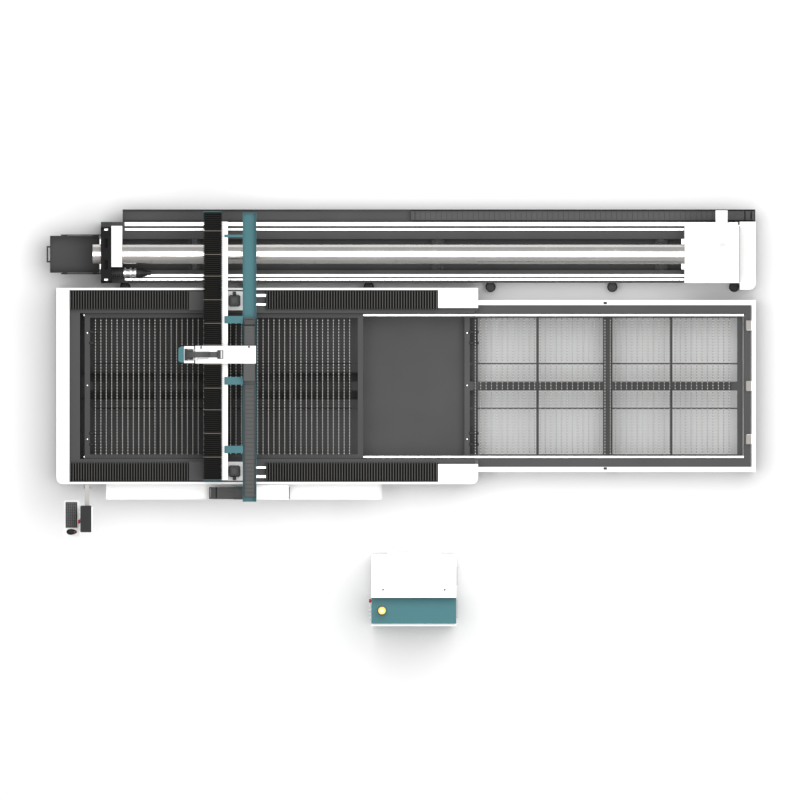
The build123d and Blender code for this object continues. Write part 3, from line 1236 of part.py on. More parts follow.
def rear_chuck_cover():
    cover = rear_cover_body(0) - rear_cover_body(REAR_COVER_WALL)
    hole_u = (REAR_SADDLE_U[0], REAR_SADDLE_U[0] + REAR_COVER_WALL)
    cover -= clear_hole(TUBE_AXIS, SPINDLE_RADIUS + FIT_GAP, hole_u)
    return group([cover, block(FEED_ARM_U, FEED_ARM_V, FEED_ARM_Z)])


def rear_spindle():
    spindle = lengthwise(TUBE_AXIS, SPINDLE_RADIUS, REAR_SPINDLE_U, TURNING_SIDES)
    spindle -= clear_hole(TUBE_AXIS, SPINDLE_BORE, REAR_SPINDLE_U)
    return spindle + chuck_jaws(REAR_JAW_U, TUBE_RADIUS + FIT_GAP)


def steel_tube():
    tube = lying(TUBE_AXIS, TUBE_RADIUS, TUBE_U)
    return tube - lying(TUBE_AXIS, TUBE_RADIUS - TUBE_WALL, TUBE_U)


def tube_support(u):
    """Lifting post with a plate and two slanted cheeks that cradle the tube when it is up."""
    v, z = TUBE_AXIS
    apex = z - SUPPORT_LIFT - (TUBE_RADIUS + SUPPORT_GAP) * math.sqrt(2)
    base = apex - SUPPORT_BASE
    plate_top = base + SUPPORT_PLATE
    span = about(u, SUPPORT_LENGTH / 2)
    pieces = [
        upright(u, v, POST_RADIUS, (POST_BOTTOM, base)),
        block(span, about(v, SUPPORT_HALF), (base, plate_top)),
    ]
    for way in (-1, 1):
        near = v + way * SUPPORT_CHEEK_GAP
        far = v + way * SUPPORT_HALF
        cheek = [
            (near, plate_top),
            (near, apex + SUPPORT_CHEEK_GAP),
            (far, apex + SUPPORT_HALF),
            (far, plate_top),
        ]
        pieces.append(prism_along_u(cheek, span))
    return group(pieces)


# Parts drawer
def drawer_stand():
    centre = TUBE_AXIS[0]
    outside = DRAWER_HALF + DRAWER_RUNNER + DRAWER_WALL
    inside = DRAWER_HALF + DRAWER_WALL
    runner_z = (DRAWER_STAND_Z[0], DRAWER_Z[0] + DRAWER_RUNNER_RISE)
    pieces = []
    for way in (-1, 1):
        runner_v = sorted((centre + way * inside, centre + way * outside))
        pieces.append(block(DRAWER_STAND_U, runner_v, runner_z))
        for u in DRAWER_LEGS_U:
            leg_v = sorted((centre + way * (outside - DRAWER_LEG), centre + way * outside))
            pieces.append(block(about(u, DRAWER_LEG / 2), leg_v, (0, DRAWER_STAND_Z[0])))
    for u in DRAWER_LEGS_U:
        pieces.append(block(about(u, DRAWER_LEG / 2), about(centre, inside), DRAWER_STAND_Z))
    return pieces


def parts_drawer():
    v = about(TUBE_AXIS[0], DRAWER_HALF)
    drawer = block(DRAWER_U, v, DRAWER_Z)
    room_u = (DRAWER_U[0] + DRAWER_WALL, DRAWER_U[1] - DRAWER_WALL)
    room_v = (v[0] + DRAWER_WALL, v[1] - DRAWER_WALL)
    drawer -= block(room_u, room_v, (DRAWER_Z[0] + DRAWER_WALL, DRAWER_Z[1]))
    grip_u = LEFT_END + DRAWER_HANDLE_RADIUS
    grip_v = about(TUBE_AXIS[0], DRAWER_HANDLE_HALF)
    drawer += crosswise(grip_u, DRAWER_HANDLE_RADIUS, grip_v, DRAWER_HANDLE_Z)
    for end in inset(grip_v, DRAWER_HANDLE_RADIUS, DRAWER_HANDLE_RADIUS):
        drawer += lengthwise((end, DRAWER_HANDLE_Z), DRAWER_HANDLE_RADIUS, (grip_u, DRAWER_U[0]))
    return drawer


# Push buttons, which all face left
def push_button(face, v, z, radius):
    """Mushroom head with a bevelled rim on a neck that slides into a hole in the panel."""
    shoulder = face - PRESS_TRAVEL - PRESS_NECK_GAP
    head = lengthwise((v, z), radius, (face - PRESS_PROUD, shoulder))
    head = chamfer(head.faces().sort_by(Axis.X)[0].edges(), PRESS_TRAVEL)
    return head + lengthwise((v, z), PRESS_NECK, (shoulder, face + PRESS_NECK_LENGTH))


def button_hole(face, v, z):
    depth = PRESS_NECK_LENGTH + PRESS_TRAVEL + PRESS_NECK_GAP
    return lengthwise((v, z), PRESS_NECK + PRESS_NECK_GAP, (face, face + depth))


# Console
def console_bracket():
    bracket_v = (CONSOLE_HINGE[1] - CONSOLE_POST_RADIUS, -BED_HALF)
    return block(about(CONSOLE_U, CONSOLE_BRACKET_HALF), bracket_v, CONSOLE_BRACKET_Z)


def console_arm():
    arm = block(CONSOLE_ARM_U, CONSOLE_ARM_V, CONSOLE_ARM_Z)
    return chamfer(upright_edges(arm), CONSOLE_POST_RADIUS / 2)


def monitor():
    """Screen housing on its swivel post, screen recessed in the left face."""
    body = block(MONITOR_U, MONITOR_V, MONITOR_Z)
    body = chamfer(upright_edges(body), MONITOR_CORNER)
    face = MONITOR_U[0]
    screen_v = (MONITOR_V[0] + SCREEN_INSET, MONITOR_V[1] - SCREEN_INSET)
    screen_z = (STOP_Z + STOP_RADIUS + SCREEN_INSET, MONITOR_Z[1] - SCREEN_INSET)
    body -= block((face, face + SCREEN_DEPTH), screen_v, screen_z)
    body -= button_hole(face, STOP_V, STOP_Z)
    return body + upright(*CONSOLE_SWIVEL, CONSOLE_POST_RADIUS, MONITOR_ARM_Z)


def keyboard_tray():
    low, high = TRAY_Z
    tray = block(TRAY_U, TRAY_V, (low, high + TRAY_LIP))
    tray = chamfer(upright_edges(tray), TRAY_CORNER)
    room_u = (TRAY_U[0] + SHEET, TRAY_U[1] - SHEET)
    room_v = (TRAY_V[0] + SHEET, TRAY_V[1] - SHEET)
    room = block(room_u, room_v, (high, high + TRAY_LIP))
    tray -= chamfer(upright_edges(room), TRAY_CORNER - SHEET)
    stay_v = about(middle(MONITOR_V), TRAY_CORNER)
    return tray + block((TRAY_U[1], middle(MONITOR_U)), stay_v, (low, MONITOR_Z[0]))


def keyboard():
    """Keyboard with raised rows of keys, and the mouse beside it."""
    board = block(KEYBOARD_U, KEYBOARD_V, KEYBOARD_Z)
    pitch = (length(KEYBOARD_U) - 2 * KEY_MARGIN) / KEY_ROWS
    row_v = (KEYBOARD_V[0] + KEY_MARGIN, KEYBOARD_V[1] - KEY_MARGIN)
    for i in range(KEY_ROWS):
        start = KEYBOARD_U[0] + KEY_MARGIN + i * pitch
        row_u = (start, start + pitch * KEY_SHARE)
        board += block(row_u, row_v, (KEYBOARD_Z[1], KEYBOARD_Z[1] + KEY_HEIGHT))
    return group([board, mouse()])


def mouse():
    """Oval shell, upright to half its height and drawn in towards the top."""
    long, wide = MOUSE_SIZE[0] / 2, MOUSE_SIZE[1] / 2
    crown = (long * MOUSE_TOP_SHARE, wide * MOUSE_TOP_SHARE)
    bottom = TRAY_Z[1]
    top = bottom + MOUSE_SIZE[2]
    return stacked(MOUSE_CENTRE, [(long, wide, bottom), (long, wide, middle((bottom, top))), (*crown, top)])


def console_stop():
    return push_button(MONITOR_U[0], STOP_V, STOP_Z, STOP_RADIUS)


# Cabinet
def cabinet_feet(v):
    places = inset(CABINET_U, CABINET_FOOT_INSET, CABINET_FOOT_INSET)
    return [upright(u, v, CABINET_FOOT_RADIUS, (0, CABINET_BASE)) for u in places]


def cabinet_rear_shell():
    shell = block(CABINET_U, REAR_SHELL_V, (CABINET_BASE, REAR_SHELL_TOP))
    shell = chamfer(upright_edges(shell, front=False), CABINET_CORNER)
    radius, depth = EYE_HOLE
    hole_v = REAR_SHELL_V[0] + EYE_HOLE_REACH
    for u in inset(CABINET_U, EYE_HOLE_INSET, EYE_HOLE_INSET):
        shell -= upright(u, hole_v, radius, (REAR_SHELL_TOP - depth, REAR_SHELL_TOP))
    for leg in cabinet_feet(REAR_SHELL_V[1] - CABINET_FOOT_INSET):
        shell += leg
    return shell


def cabinet_front_shell():
    """Electrical part: a box open to the front, with its modules on the back wall."""
    shell = block(CABINET_U, FRONT_SHELL_V, (CABINET_BASE, FRONT_SHELL_TOP))
    room_u = inset(CABINET_U, CABINET_WALL, CABINET_WALL)
    room_z = inset(DOOR_Z, CABINET_WALL, CABINET_WALL)
    back = FRONT_SHELL_V[1] - CABINET_BACK
    shell -= block(room_u, (FRONT_SHELL_V[0], back), room_z)
    module_u = inset(CABINET_U, MODULE_INSET, MODULE_INSET)
    for z in spread(inset(room_z, MODULE_HEIGHT, MODULE_HEIGHT), MODULE_COUNT):
        shell += block(module_u, (back - MODULE_DEPTH, back), about(z, MODULE_HEIGHT / 2))
    for v in (CABINET_STOP_V, *CABINET_BUTTONS_V):
        shell -= button_hole(CABINET_U[0], v, CABINET_CONTROL_Z)
    for leg in cabinet_feet(FRONT_SHELL_V[0] + CABINET_FOOT_INSET):
        shell += leg
    return shell


def cabinet_door():
    """Full-width door with a recessed grip."""
    door = block(CABINET_U, DOOR_V, DOOR_Z)
    wide, high, deep = DOOR_HANDLE
    start = CABINET_U[0] + DOOR_HANDLE_INSET
    grip_z = (DOOR_HANDLE_BOTTOM, DOOR_HANDLE_BOTTOM + high)
    return door - block((start, start + wide), (DOOR_V[0], DOOR_V[0] + deep), grip_z)


def fan_filters():
    """Square filter frames on the right side, each with a row of slots."""
    frames = []
    face = CABINET_U[1]
    size, depth = FILTER
    rear = REAR_SHELL_V[0] + FILTERS_REACH[0]
    front = REAR_SHELL_V[0] - FILTERS_REACH[1] - size
    pitch = size / (LOUVRES + 1)
    slot_u = (face + depth / 2, face + depth)
    for start in (rear, front):
        v = (start, start + size)
        for bottom in FILTERS_BOTTOM:
            frame = block((face, face + depth), v, (bottom, bottom + size))
            for i in range(LOUVRES):
                slot_z = about(bottom + (i + 1) * pitch, pitch / 4)
                frame -= block(slot_u, inset(v, pitch / 2, pitch / 2), slot_z)
            frames.append(frame)
    return group(frames)


def stack_light():
    radius, height = LIGHT_BASE
    base_top = FRONT_SHELL_TOP + height
    light = upright(*LIGHT_CENTRE, radius, (FRONT_SHELL_TOP, base_top), LIGHT_SIDES)
    lens_radius, lens_height = LIGHT_LENS
    return light + upright(*LIGHT_CENTRE, lens_radius, (base_top, base_top + lens_height), LIGHT_SIDES)


# Every node and its solid
NODES = {
    "bed_frame": bed_frame(),
    "scrap_hopper": group([scrap_hopper(), outlet_floor()]),
    "left_end_cover": left_end_cover(),
    "side_covers": group([side_covers(), end_cover(front=True), end_cover(front=False)]),
    "linear_rails": all_rails(),
    "x_bellows": x_bellows(),
    "levelling_feet": levelling_feet(),
    "x_chain_trough": x_chain_trough(),
    "x_drag_chain": x_drag_chain(),
    "exchange_frame": exchange_frame(),
    "exchange_covers": exchange_covers(),
    "track_rails": track_rails(),
    "upper_pallet_frame": pallet_frame(UPPER_PALLET_U, TRACK_TOPS[0]),
    "upper_pallet_slats": pallet_slats(UPPER_PALLET_U, TRACK_TOPS[0]),
    "lower_pallet_frame": pallet_frame(LOWER_PALLET_U, TRACK_TOPS[1]),
    "lower_pallet_slats": pallet_slats(LOWER_PALLET_U, TRACK_TOPS[1]),
    "gantry_beam": gantry_beam(),
    "gantry_saddles": gantry_saddles(),
    "gantry_end_plates": gantry_end_plates(),
    "x_servo_motors": x_servo_motors(),
    "y_bellows": y_bellows(),
    "cable_tray": cable_tray(),
    "y_drag_chain": y_drag_chain(),
    "carriage_plate": carriage_plate(),
    "z_drag_chain": z_drag_chain(),
    "cutting_head": cutting_head(),
    "head_cover": head_cover(),
    "head_cap": head_cap(),
    "tube_bed_frame": tube_bed_frame(),
    "tube_bed_end_cover": tube_bed_end_cover(),
    "feed_chain_tray": feed_chain_tray(),
    "feed_drag_chain": feed_drag_chain(),
    "front_chuck_plate": front_chuck_plate(),
    "front_chuck_cover": front_chuck_cover(),
    "front_spindle": front_spindle(),
    "chuck_drive": chuck_drive(),
    "rear_chuck_saddle": rear_chuck_saddle(),
    "rear_chuck_cover": rear_chuck_cover(),
    "rear_spindle": rear_spindle(),
    "steel_tube": steel_tube(),
    "parts_drawer": parts_drawer(),
    "console_bracket": console_bracket(),
    "console_arm": console_arm(),
    "monitor": monitor(),
    "keyboard_tray": keyboard_tray(),
    "keyboard": keyboard(),
    "console_stop": console_stop(),
    "cabinet_rear_shell": cabinet_rear_shell(),
    "cabinet_front_shell": cabinet_front_shell(),
    "cabinet_door": cabinet_door(),
    "fan_filters": fan_filters(),
    "stack_light": stack_light(),
    "cabinet_stop": push_button(CABINET_U[0], CABINET_STOP_V, CABINET_CONTROL_Z, STOP_RADIUS),
}
for number, place in enumerate(SUPPORTS_U, start=1):
    NODES[f"tube_support_{number}"] = tube_support(place)
for number, place in enumerate(CABINET_BUTTONS_V, start=1):
    NODES[f"cabinet_button_{number}"] = push_button(CABINET_U[0], place, CABINET_CONTROL_Z, BUTTON_RADIUS)

os.makedirs("parts", exist_ok=True)
to_origin = Pos(-middle((LEFT_END, RIGHT_END)), -middle((FRONT_END, BACK_END)), 0)
for name, shape in NODES.items():
    export_step(to_origin * shape, f"parts/{name}.step")
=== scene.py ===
import json
import math

import bpy
import numpy as np
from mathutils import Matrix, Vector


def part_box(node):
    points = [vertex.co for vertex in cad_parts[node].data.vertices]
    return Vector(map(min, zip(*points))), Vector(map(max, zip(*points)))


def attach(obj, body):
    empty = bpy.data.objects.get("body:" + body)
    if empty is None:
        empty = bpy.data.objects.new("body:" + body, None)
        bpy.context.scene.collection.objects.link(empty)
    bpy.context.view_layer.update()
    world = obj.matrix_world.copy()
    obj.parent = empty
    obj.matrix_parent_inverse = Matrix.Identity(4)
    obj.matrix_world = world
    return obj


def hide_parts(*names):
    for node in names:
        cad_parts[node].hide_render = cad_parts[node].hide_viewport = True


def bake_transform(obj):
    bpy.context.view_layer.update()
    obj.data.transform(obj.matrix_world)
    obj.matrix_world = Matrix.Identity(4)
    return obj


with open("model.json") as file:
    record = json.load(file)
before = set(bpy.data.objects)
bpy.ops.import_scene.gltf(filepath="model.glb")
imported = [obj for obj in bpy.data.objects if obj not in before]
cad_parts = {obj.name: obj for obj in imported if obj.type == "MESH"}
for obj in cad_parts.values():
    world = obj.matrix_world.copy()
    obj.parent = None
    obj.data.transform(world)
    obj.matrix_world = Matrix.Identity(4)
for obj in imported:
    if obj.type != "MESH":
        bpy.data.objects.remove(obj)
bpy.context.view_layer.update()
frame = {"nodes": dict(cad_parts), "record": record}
scene = bpy.context.scene

# Photograph's frame: pixels across, metres per pixel, and the machine's origin in that frame
FRAME_PIXELS = 800
METRES_PER_PIXEL = 0.0112
ORIGIN_PIXEL = (401.0, 417.25)

# Camera: lens and sensor in millimetres, and the height at which the picture has the photograph's scale
LENS = 1000.0
SENSOR = 36.0
REFERENCE_HEIGHT = 0.9

# Finishes, linear colours
WHITE_PAINT = (0.86, 0.86, 0.855)
DARK_PAINT = (0.044, 0.044, 0.044)
TEAL_PAINT = (0.03, 0.133, 0.152)
GROUND_STEEL = (0.62, 0.62, 0.62)
SLAT_STEEL = (0.03, 0.029, 0.028)
# painted highlight: the pale colour painted on the slats' tooth tips
SLAT_TIP_HIGHLIGHT = (0.8, 0.775, 0.74)
TUBE_STEEL = (0.66, 0.64, 0.62)
BELLOWS_BLACK = (0.004, 0.004, 0.0035)
# painted highlight: the paler colour painted on the bellows' crests
BELLOWS_CREST_HIGHLIGHT = (0.1, 0.098, 0.094)
BELLOWS_FRAME = (0.3, 0.265, 0.225)
CHAIN_GREY = (0.066, 0.066, 0.066)
KEY_GREY = (0.1, 0.1, 0.1)
MOTOR_BLACK = (0.024, 0.024, 0.025)
CONSOLE_BLACK = (0.008, 0.008, 0.0085)
FILTER_GREY = (0.55, 0.55, 0.55)
BRACKET_GREY = (0.26, 0.245, 0.23)
ARM_BEIGE = (0.36, 0.35, 0.333)
CHUCK_BLACK = (0.006, 0.006, 0.006)
SCREEN_BLACK = (0.012, 0.014, 0.018)
STOP_RED = (0.55, 0.012, 0.012)
LAMP_YELLOW = (0.75, 0.52, 0.03)
HOPPER_GREY = (0.05, 0.05, 0.05)
SOOT = (0.004, 0.004, 0.004)
FLOOR_WHITE = (0.84, 0.84, 0.84)


# Meshes from arrays; turns are the sides of round pieces
HEXAGON_TURNS = 6
SMALL_TURNS = 8
ROUND_TURNS = 16
FINE_TURNS = 24
OCTAGON_CAP = np.array([(0, 3, 2, 1), (0, 7, 4, 3), (7, 6, 5, 4)])


def mesh_piece(name, shape, finish, smooth=False):
    """A new object at the origin from a shape: an array of points and an array of four-cornered faces."""
    mesh = bpy.data.meshes.new(name)
    points = np.asarray(shape[0], dtype=np.float32).reshape(-1, 3)
    faces = np.asarray(shape[1], dtype=np.int32).reshape(-1, 4)
    mesh.vertices.add(len(points))
    mesh.vertices.foreach_set("co", points.ravel())
    mesh.loops.add(faces.size)
    mesh.loops.foreach_set("vertex_index", faces.ravel())
    mesh.polygons.add(len(faces))
    mesh.polygons.foreach_set("loop_start", np.arange(0, faces.size, 4, dtype=np.int32))
    mesh.polygons.foreach_set("use_smooth", np.full(len(faces), smooth))
    mesh.materials.append(FINISHES[finish])
    mesh.update(calc_edges=True)
    mesh.validate()
    piece = bpy.data.objects.new(name, mesh)
    scene.collection.objects.link(piece)
    return piece


def grid_faces(rows, columns, close_columns=False):
    """Faces of a grid of points: each point with its next neighbours along both parameters."""
    last_column = columns if close_columns else columns - 1
    i, j = np.meshgrid(np.arange(rows - 1), np.arange(last_column), indexing="ij")
    here, below = i * columns, (i + 1) * columns
    beside = (j + 1) % columns
    corners = (here + j, below + j, below + beside, here + beside)
    return np.stack(corners, axis=-1).reshape(-1, 4)


def repeated(points, faces, shifts):
    """One shape set down at every shift: points are added to each shift, faces count on from copy to copy."""
    points = np.asarray(points, dtype=float).reshape(-1, 3)
    shifts = np.asarray(shifts, dtype=float).reshape(-1, 3)
    every_point = points[None, :, :] + shifts[:, None, :]
    step = np.arange(len(shifts)) * len(points)
    every_face = np.asarray(faces)[None, :, :] + step[:, None, None]
    return every_point.reshape(-1, 3), every_face.reshape(-1, 4)


def joined(parts):
    """Several (points, faces) pairs as one pair, faces counting on from part to part."""
    starts = np.cumsum([0] + [len(points) for points, _ in parts[:-1]])
    points = np.concatenate([points for points, _ in parts])
    faces = np.concatenate([np.asarray(faces) + start for (_, faces), start in zip(parts, starts)])
    return points, faces


def chamfered_box(low, high, edge):
    """A box whose upright section is an octagon and whose top and bottom step in by the same edge.

    Rings from bottom to top: inset, full, full, inset, each an octagon about the centre, with two points for
    every corner, one stepped back along each side; three faces cap each end.
    """
    low, high = np.asarray(low, dtype=float), np.asarray(high, dtype=float)
    middle, half = (low + high) / 2, (high - low) / 2
    signs = np.array([(1, 1), (-1, 1), (-1, -1), (1, -1)], dtype=float)
    step_back = np.array([(0, 1), (1, 0), (0, 1), (1, 0)], dtype=float) * edge
    rings = []
    for level, inset in ((-half[2], edge), (edge - half[2], 0.0), (half[2] - edge, 0.0), (half[2], edge)):
        sharp = signs * (half[:2] - inset)
        first = sharp - signs * step_back
        second = sharp - signs * step_back[:, ::-1]
        ring = np.stack([first, second], axis=1).reshape(-1, 2)
        rings.append(np.column_stack([ring, np.full(len(ring), level)]))
    points = np.concatenate(rings) + middle
    sides = grid_faces(len(rings), len(ring), close_columns=True)[:, ::-1]
    top_ring = len(points) - len(ring)
    return points, np.concatenate([sides, OCTAGON_CAP, OCTAGON_CAP[:, ::-1] + top_ring])


def turned(profile, turns=ROUND_TURNS):
    """A profile of (radius, height) points carried round the upright axis; its end radii may be 0."""
    profile = np.asarray(profile, dtype=float)
    angle = np.linspace(0, 2 * math.pi, turns, endpoint=False)
    x = profile[:, :1] * np.cos(angle)
    y = profile[:, :1] * np.sin(angle)
    z = np.repeat(profile[:, 1:], turns, axis=1)
    points = np.stack([x, y, z], axis=-1).reshape(-1, 3)
    return points, grid_faces(len(profile), turns, close_columns=True)[:, ::-1]


def swung(points, axis):
    """Points of a shape made along z, turned so that its z runs along +x, +y or -y."""
    x, y, z = points.T
    ways = {"+x": (z, y, -x), "+y": (x, z, -y), "-y": (x, -z, y)}
    return np.stack(ways[axis], axis=-1)


def end_caps(rows):
    """Faces that close the first and the last ring of a grid whose rings have four points."""
    ring = np.arange(4)
    return np.stack([ring, (rows - 1) * len(ring) + ring[::-1]])


def add_attribute(piece, name, values):
    """A number for every vertex that the piece's material can read."""
    attribute = piece.data.attributes.new(name, "FLOAT", "POINT")
    attribute.data.foreach_set("value", np.asarray(values, dtype=np.float32))


# Places in the frame that several pieces start from
def corner(node, end, axis):
    """One number of a node's box at rest: end 0 is its low and 1 its high corner; axes 0 to 2 are x to z."""
    return float(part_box(node)[end][axis])


def middle_of(node, axis):
    """Halfway along a node's box at rest."""
    low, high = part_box(node)
    return float(low[axis] + high[axis]) / 2


def low_corner(node):
    """The low corner of a node's box at rest, as an array."""
    return np.array(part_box(node)[0], dtype=float)


def places_on(node, xs, ys):
    """Places in the frame: every x with every y, measured from the low corner of a node's box."""
    start = low_corner(node)
    return [(start[0] + x, start[1] + y) for y in ys for x in xs]


# Shared surface effects, each built once as a node group
EFFECT_OUTPUTS = {"Colour": "NodeSocketColor", "Roughness": "NodeSocketFloat", "Height": "NodeSocketFloat"}
NOISE_MIDDLE = 0.5
DRIFT_SCALE, DRIFT_DETAIL = 1.7, 4.0
PEEL_SCALE, PEEL_DETAIL = 420.0, 2.0
STREAK_SCALE, STREAK_DETAIL = 1.0, 3.0
BLOTCH_SCALE, BLOTCH_DETAIL = 3.0, 5.0
PEEL_TONE_SHARE = 0.03
COAT_ROUGH_SHARE = 0.22
BRUSH_ROUGH_SHARE = 0.18
BUMP_DISTANCE = 0.001
# Numbers of the Mix node's colour sockets
MIX_FIRST, MIX_SECOND, MIX_RESULT = 6, 7, 2


def new_group(name, inputs):
    """An empty shader node group with named inputs and an effect's outputs, and the sockets at both ends."""
    group = bpy.data.node_groups.new(name, "ShaderNodeTree")
    for way, sockets in (("INPUT", inputs), ("OUTPUT", EFFECT_OUTPUTS)):
        for socket, kind in sockets.items():
            group.interface.new_socket(socket, in_out=way, socket_type=kind)
    source = group.nodes.new("NodeGroupInput")
    sink = group.nodes.new("NodeGroupOutput")
    return group, source.outputs, sink.inputs


def give(tree, socket, value):
    """Puts a value into a socket: another node's output is linked; a number, a vector or a colour is set."""
    if isinstance(value, bpy.types.NodeSocket):
        tree.links.new(value, socket)
    elif socket.type == "RGBA":
        socket.default_value = (*value, 1.0)
    else:
        socket.default_value = value


def new_node(tree, kind, inputs, **settings):
    """A node of a kind with its settings, then a value or a link for each of its inputs that is named."""
    node = tree.nodes.new(kind)
    for setting, value in settings.items():
        setattr(node, setting, value)
    for socket, value in inputs.items():
        give(tree, node.inputs[socket], value)
    return node


def math_node(tree, operation, first, second):
    """A maths node whose two inputs are sockets or plain numbers."""
    return new_node(tree, "ShaderNodeMath", {0: first, 1: second}, operation=operation).outputs[0]


def noise_node(tree, vector, scale, detail):
    """Noise over a vector, from 0 to 1."""
    inputs = {"Vector": vector, "Scale": scale, "Detail": detail}
    return new_node(tree, "ShaderNodeTexNoise", inputs).outputs["Fac"]


def wavering(tree, noise, share):
    """A noise less its middle, times a share."""
    return math_node(tree, "MULTIPLY", math_node(tree, "SUBTRACT", noise, NOISE_MIDDLE), share)


def toned(tree, colour, tone):
    """A colour times a number."""
    inputs = {0: colour, "Scale": tone}
    return new_node(tree, "ShaderNodeVectorMath", inputs, operation="SCALE").outputs["Vector"]


def mixed(tree, factor, first, second):
    """A colour mix of two colours or sockets by a mask."""
    inputs = {"Factor": factor, MIX_FIRST: first, MIX_SECOND: second}
    return new_node(tree, "ShaderNodeMix", inputs, data_type="RGBA").outputs[MIX_RESULT]


def marked(tree, mark):
    """The number that a piece's mesh carries under an attribute's name."""
    return new_node(tree, "ShaderNodeAttribute", {}, attribute_name=mark).outputs["Fac"]


def make_coat_group():
    """Powder coat: broad tone drift and fine grain on a colour, roughness, and height of the orange peel."""
    inputs = {
        "Vector": "NodeSocketVector",
        "Colour": "NodeSocketColor",
        "Drift": "NodeSocketFloat",
        "Roughness": "NodeSocketFloat",
    }
    tree, source, sink = new_group("powder_coat", inputs)
    broad = noise_node(tree, source["Vector"], DRIFT_SCALE, DRIFT_DETAIL)
    peel = noise_node(tree, source["Vector"], PEEL_SCALE, PEEL_DETAIL)
    drift = wavering(tree, broad, source["Drift"])
    grain = wavering(tree, peel, PEEL_TONE_SHARE)
    tone = math_node(tree, "ADD", math_node(tree, "ADD", drift, grain), 1.0)
    rough = wavering(tree, broad, COAT_ROUGH_SHARE)
    give(tree, sink["Colour"], toned(tree, source["Colour"], tone))
    give(tree, sink["Roughness"], math_node(tree, "ADD", rough, source["Roughness"]))
    give(tree, sink["Height"], peel)
    return tree


def make_brush_group():
    """Ground or drawn metal: noise stretched along one axis gives streaks of tone, roughness and height."""
    inputs = {
        "Vector": "NodeSocketVector",
        "Colour": "NodeSocketColor",
        "Stretch": "NodeSocketVector",
        "Strength": "NodeSocketFloat",
        "Roughness": "NodeSocketFloat",
    }
    tree, source, sink = new_group("drawn_streaks", inputs)
    factors = {0: source["Vector"], 1: source["Stretch"]}
    stretched = new_node(tree, "ShaderNodeVectorMath", factors, operation="MULTIPLY").outputs["Vector"]
    streak = noise_node(tree, stretched, STREAK_SCALE, STREAK_DETAIL)
    blotch = noise_node(tree, source["Vector"], BLOTCH_SCALE, BLOTCH_DETAIL)
    centred = math_node(tree, "SUBTRACT", math_node(tree, "ADD", streak, blotch), 2 * NOISE_MIDDLE)
    tone = math_node(tree, "ADD", math_node(tree, "MULTIPLY", centred, source["Strength"]), 1.0)
    rough = math_node(tree, "MULTIPLY", centred, BRUSH_ROUGH_SHARE)
    give(tree, sink["Colour"], toned(tree, source["Colour"], tone))
    give(tree, sink["Roughness"], math_node(tree, "ADD", rough, source["Roughness"]))
    give(tree, sink["Height"], streak)
    return tree


COAT = make_coat_group()
BRUSH = make_brush_group()


# Materials; a stretch is small along the streaks and large across them
CREST_HIGHLIGHT_POWER = 3.0
TIP_HIGHLIGHT_POWER = 6.0
ALONG_X = (4.0, 320.0, 320.0)
ALONG_TUBE = (1.2, 260.0, 260.0)
ALONG_Z = (260.0, 260.0, 6.0)


def new_material(name, colour, metallic=0.0, gloss=0.5):
    """A material with its Principled shader and Object coordinates; colour is also its viewport tone."""
    material = bpy.data.materials.new(name)
    material.use_nodes = True
    material.diffuse_color = (*colour, 1.0)
    tree = material.node_tree
    shader = tree.nodes["Principled BSDF"]
    shader.inputs["Metallic"].default_value = metallic
    shader.inputs["Specular IOR Level"].default_value = gloss
    place = tree.nodes.new("ShaderNodeTexCoord")
    return material, tree, shader, place.outputs["Object"]


def lay_effect(tree, shader, effect, inputs, bump):
    """Places a shared effect with its values; its colour, roughness and bumped height go into the shader."""
    node = new_node(tree, "ShaderNodeGroup", inputs, node_tree=effect)
    relief = {"Strength": bump, "Distance": BUMP_DISTANCE, "Height": node.outputs["Height"]}
    give(tree, shader.inputs["Base Color"], node.outputs["Colour"])
    give(tree, shader.inputs["Roughness"], node.outputs["Roughness"])
    give(tree, shader.inputs["Normal"], new_node(tree, "ShaderNodeBump", relief).outputs["Normal"])


def lay_coat(tree, shader, place, colour, drift, roughness, bump):
    """Runs a colour through the powder-coat group and into the shader."""
    inputs = {"Vector": place, "Colour": colour, "Drift": drift, "Roughness": roughness}
    lay_effect(tree, shader, COAT, inputs, bump)


def lay_brush(tree, shader, place, colour, stretch, strength, roughness, bump):
    """Runs a colour through the group of drawn streaks and into the shader."""
    inputs = {"Vector": place, "Colour": colour, "Stretch": stretch}
    inputs.update({"Strength": strength, "Roughness": roughness})
    lay_effect(tree, shader, BRUSH, inputs, bump)


def coated(name, colour, roughness=0.45, drift=0.06, bump=0.05, gloss=0.5):
    """Powder-coated or moulded surface."""
    material, tree, shader, place = new_material(name, colour, gloss=gloss)
    lay_coat(tree, shader, place, colour, drift, roughness, bump)
    return material


def sooted(name, colour, soot, bands):
    """Paint below the cutting plane, blackened where all its bands cross.

    Each band is an axis, a middle and two reaches: the distance from the middle turns from 1 inside the first
    reach to 0 outside the second, and the product over the bands is the share of soot.
    """
    material, tree, shader, place = new_material(name, colour, gloss=0.3)
    split = new_node(tree, "ShaderNodeSeparateXYZ", {0: place})
    share = 1.0
    for axis, middle, reach in bands:
        away = math_node(tree, "ABSOLUTE", math_node(tree, "SUBTRACT", split.outputs[axis], middle), 0.0)
        limits = {"Value": away, "From Min": reach[0], "From Max": reach[1], "To Min": 1.0, "To Max": 0.0}
        band = new_node(tree, "ShaderNodeMapRange", limits, interpolation_type="SMOOTHSTEP")
        share = math_node(tree, "MULTIPLY", band.outputs["Result"], share)
    lay_coat(tree, shader, place, mixed(tree, share, colour, soot), drift=0.15, roughness=0.6, bump=0.05)
    return material


def drawn(name, colour, stretch, roughness, strength=0.25):
    """Ground, drawn or rolled metal with streaks along its length."""
    material, tree, shader, place = new_material(name, colour, metallic=1.0)
    lay_brush(tree, shader, place, colour, stretch, strength, roughness, bump=0.03)
    return material


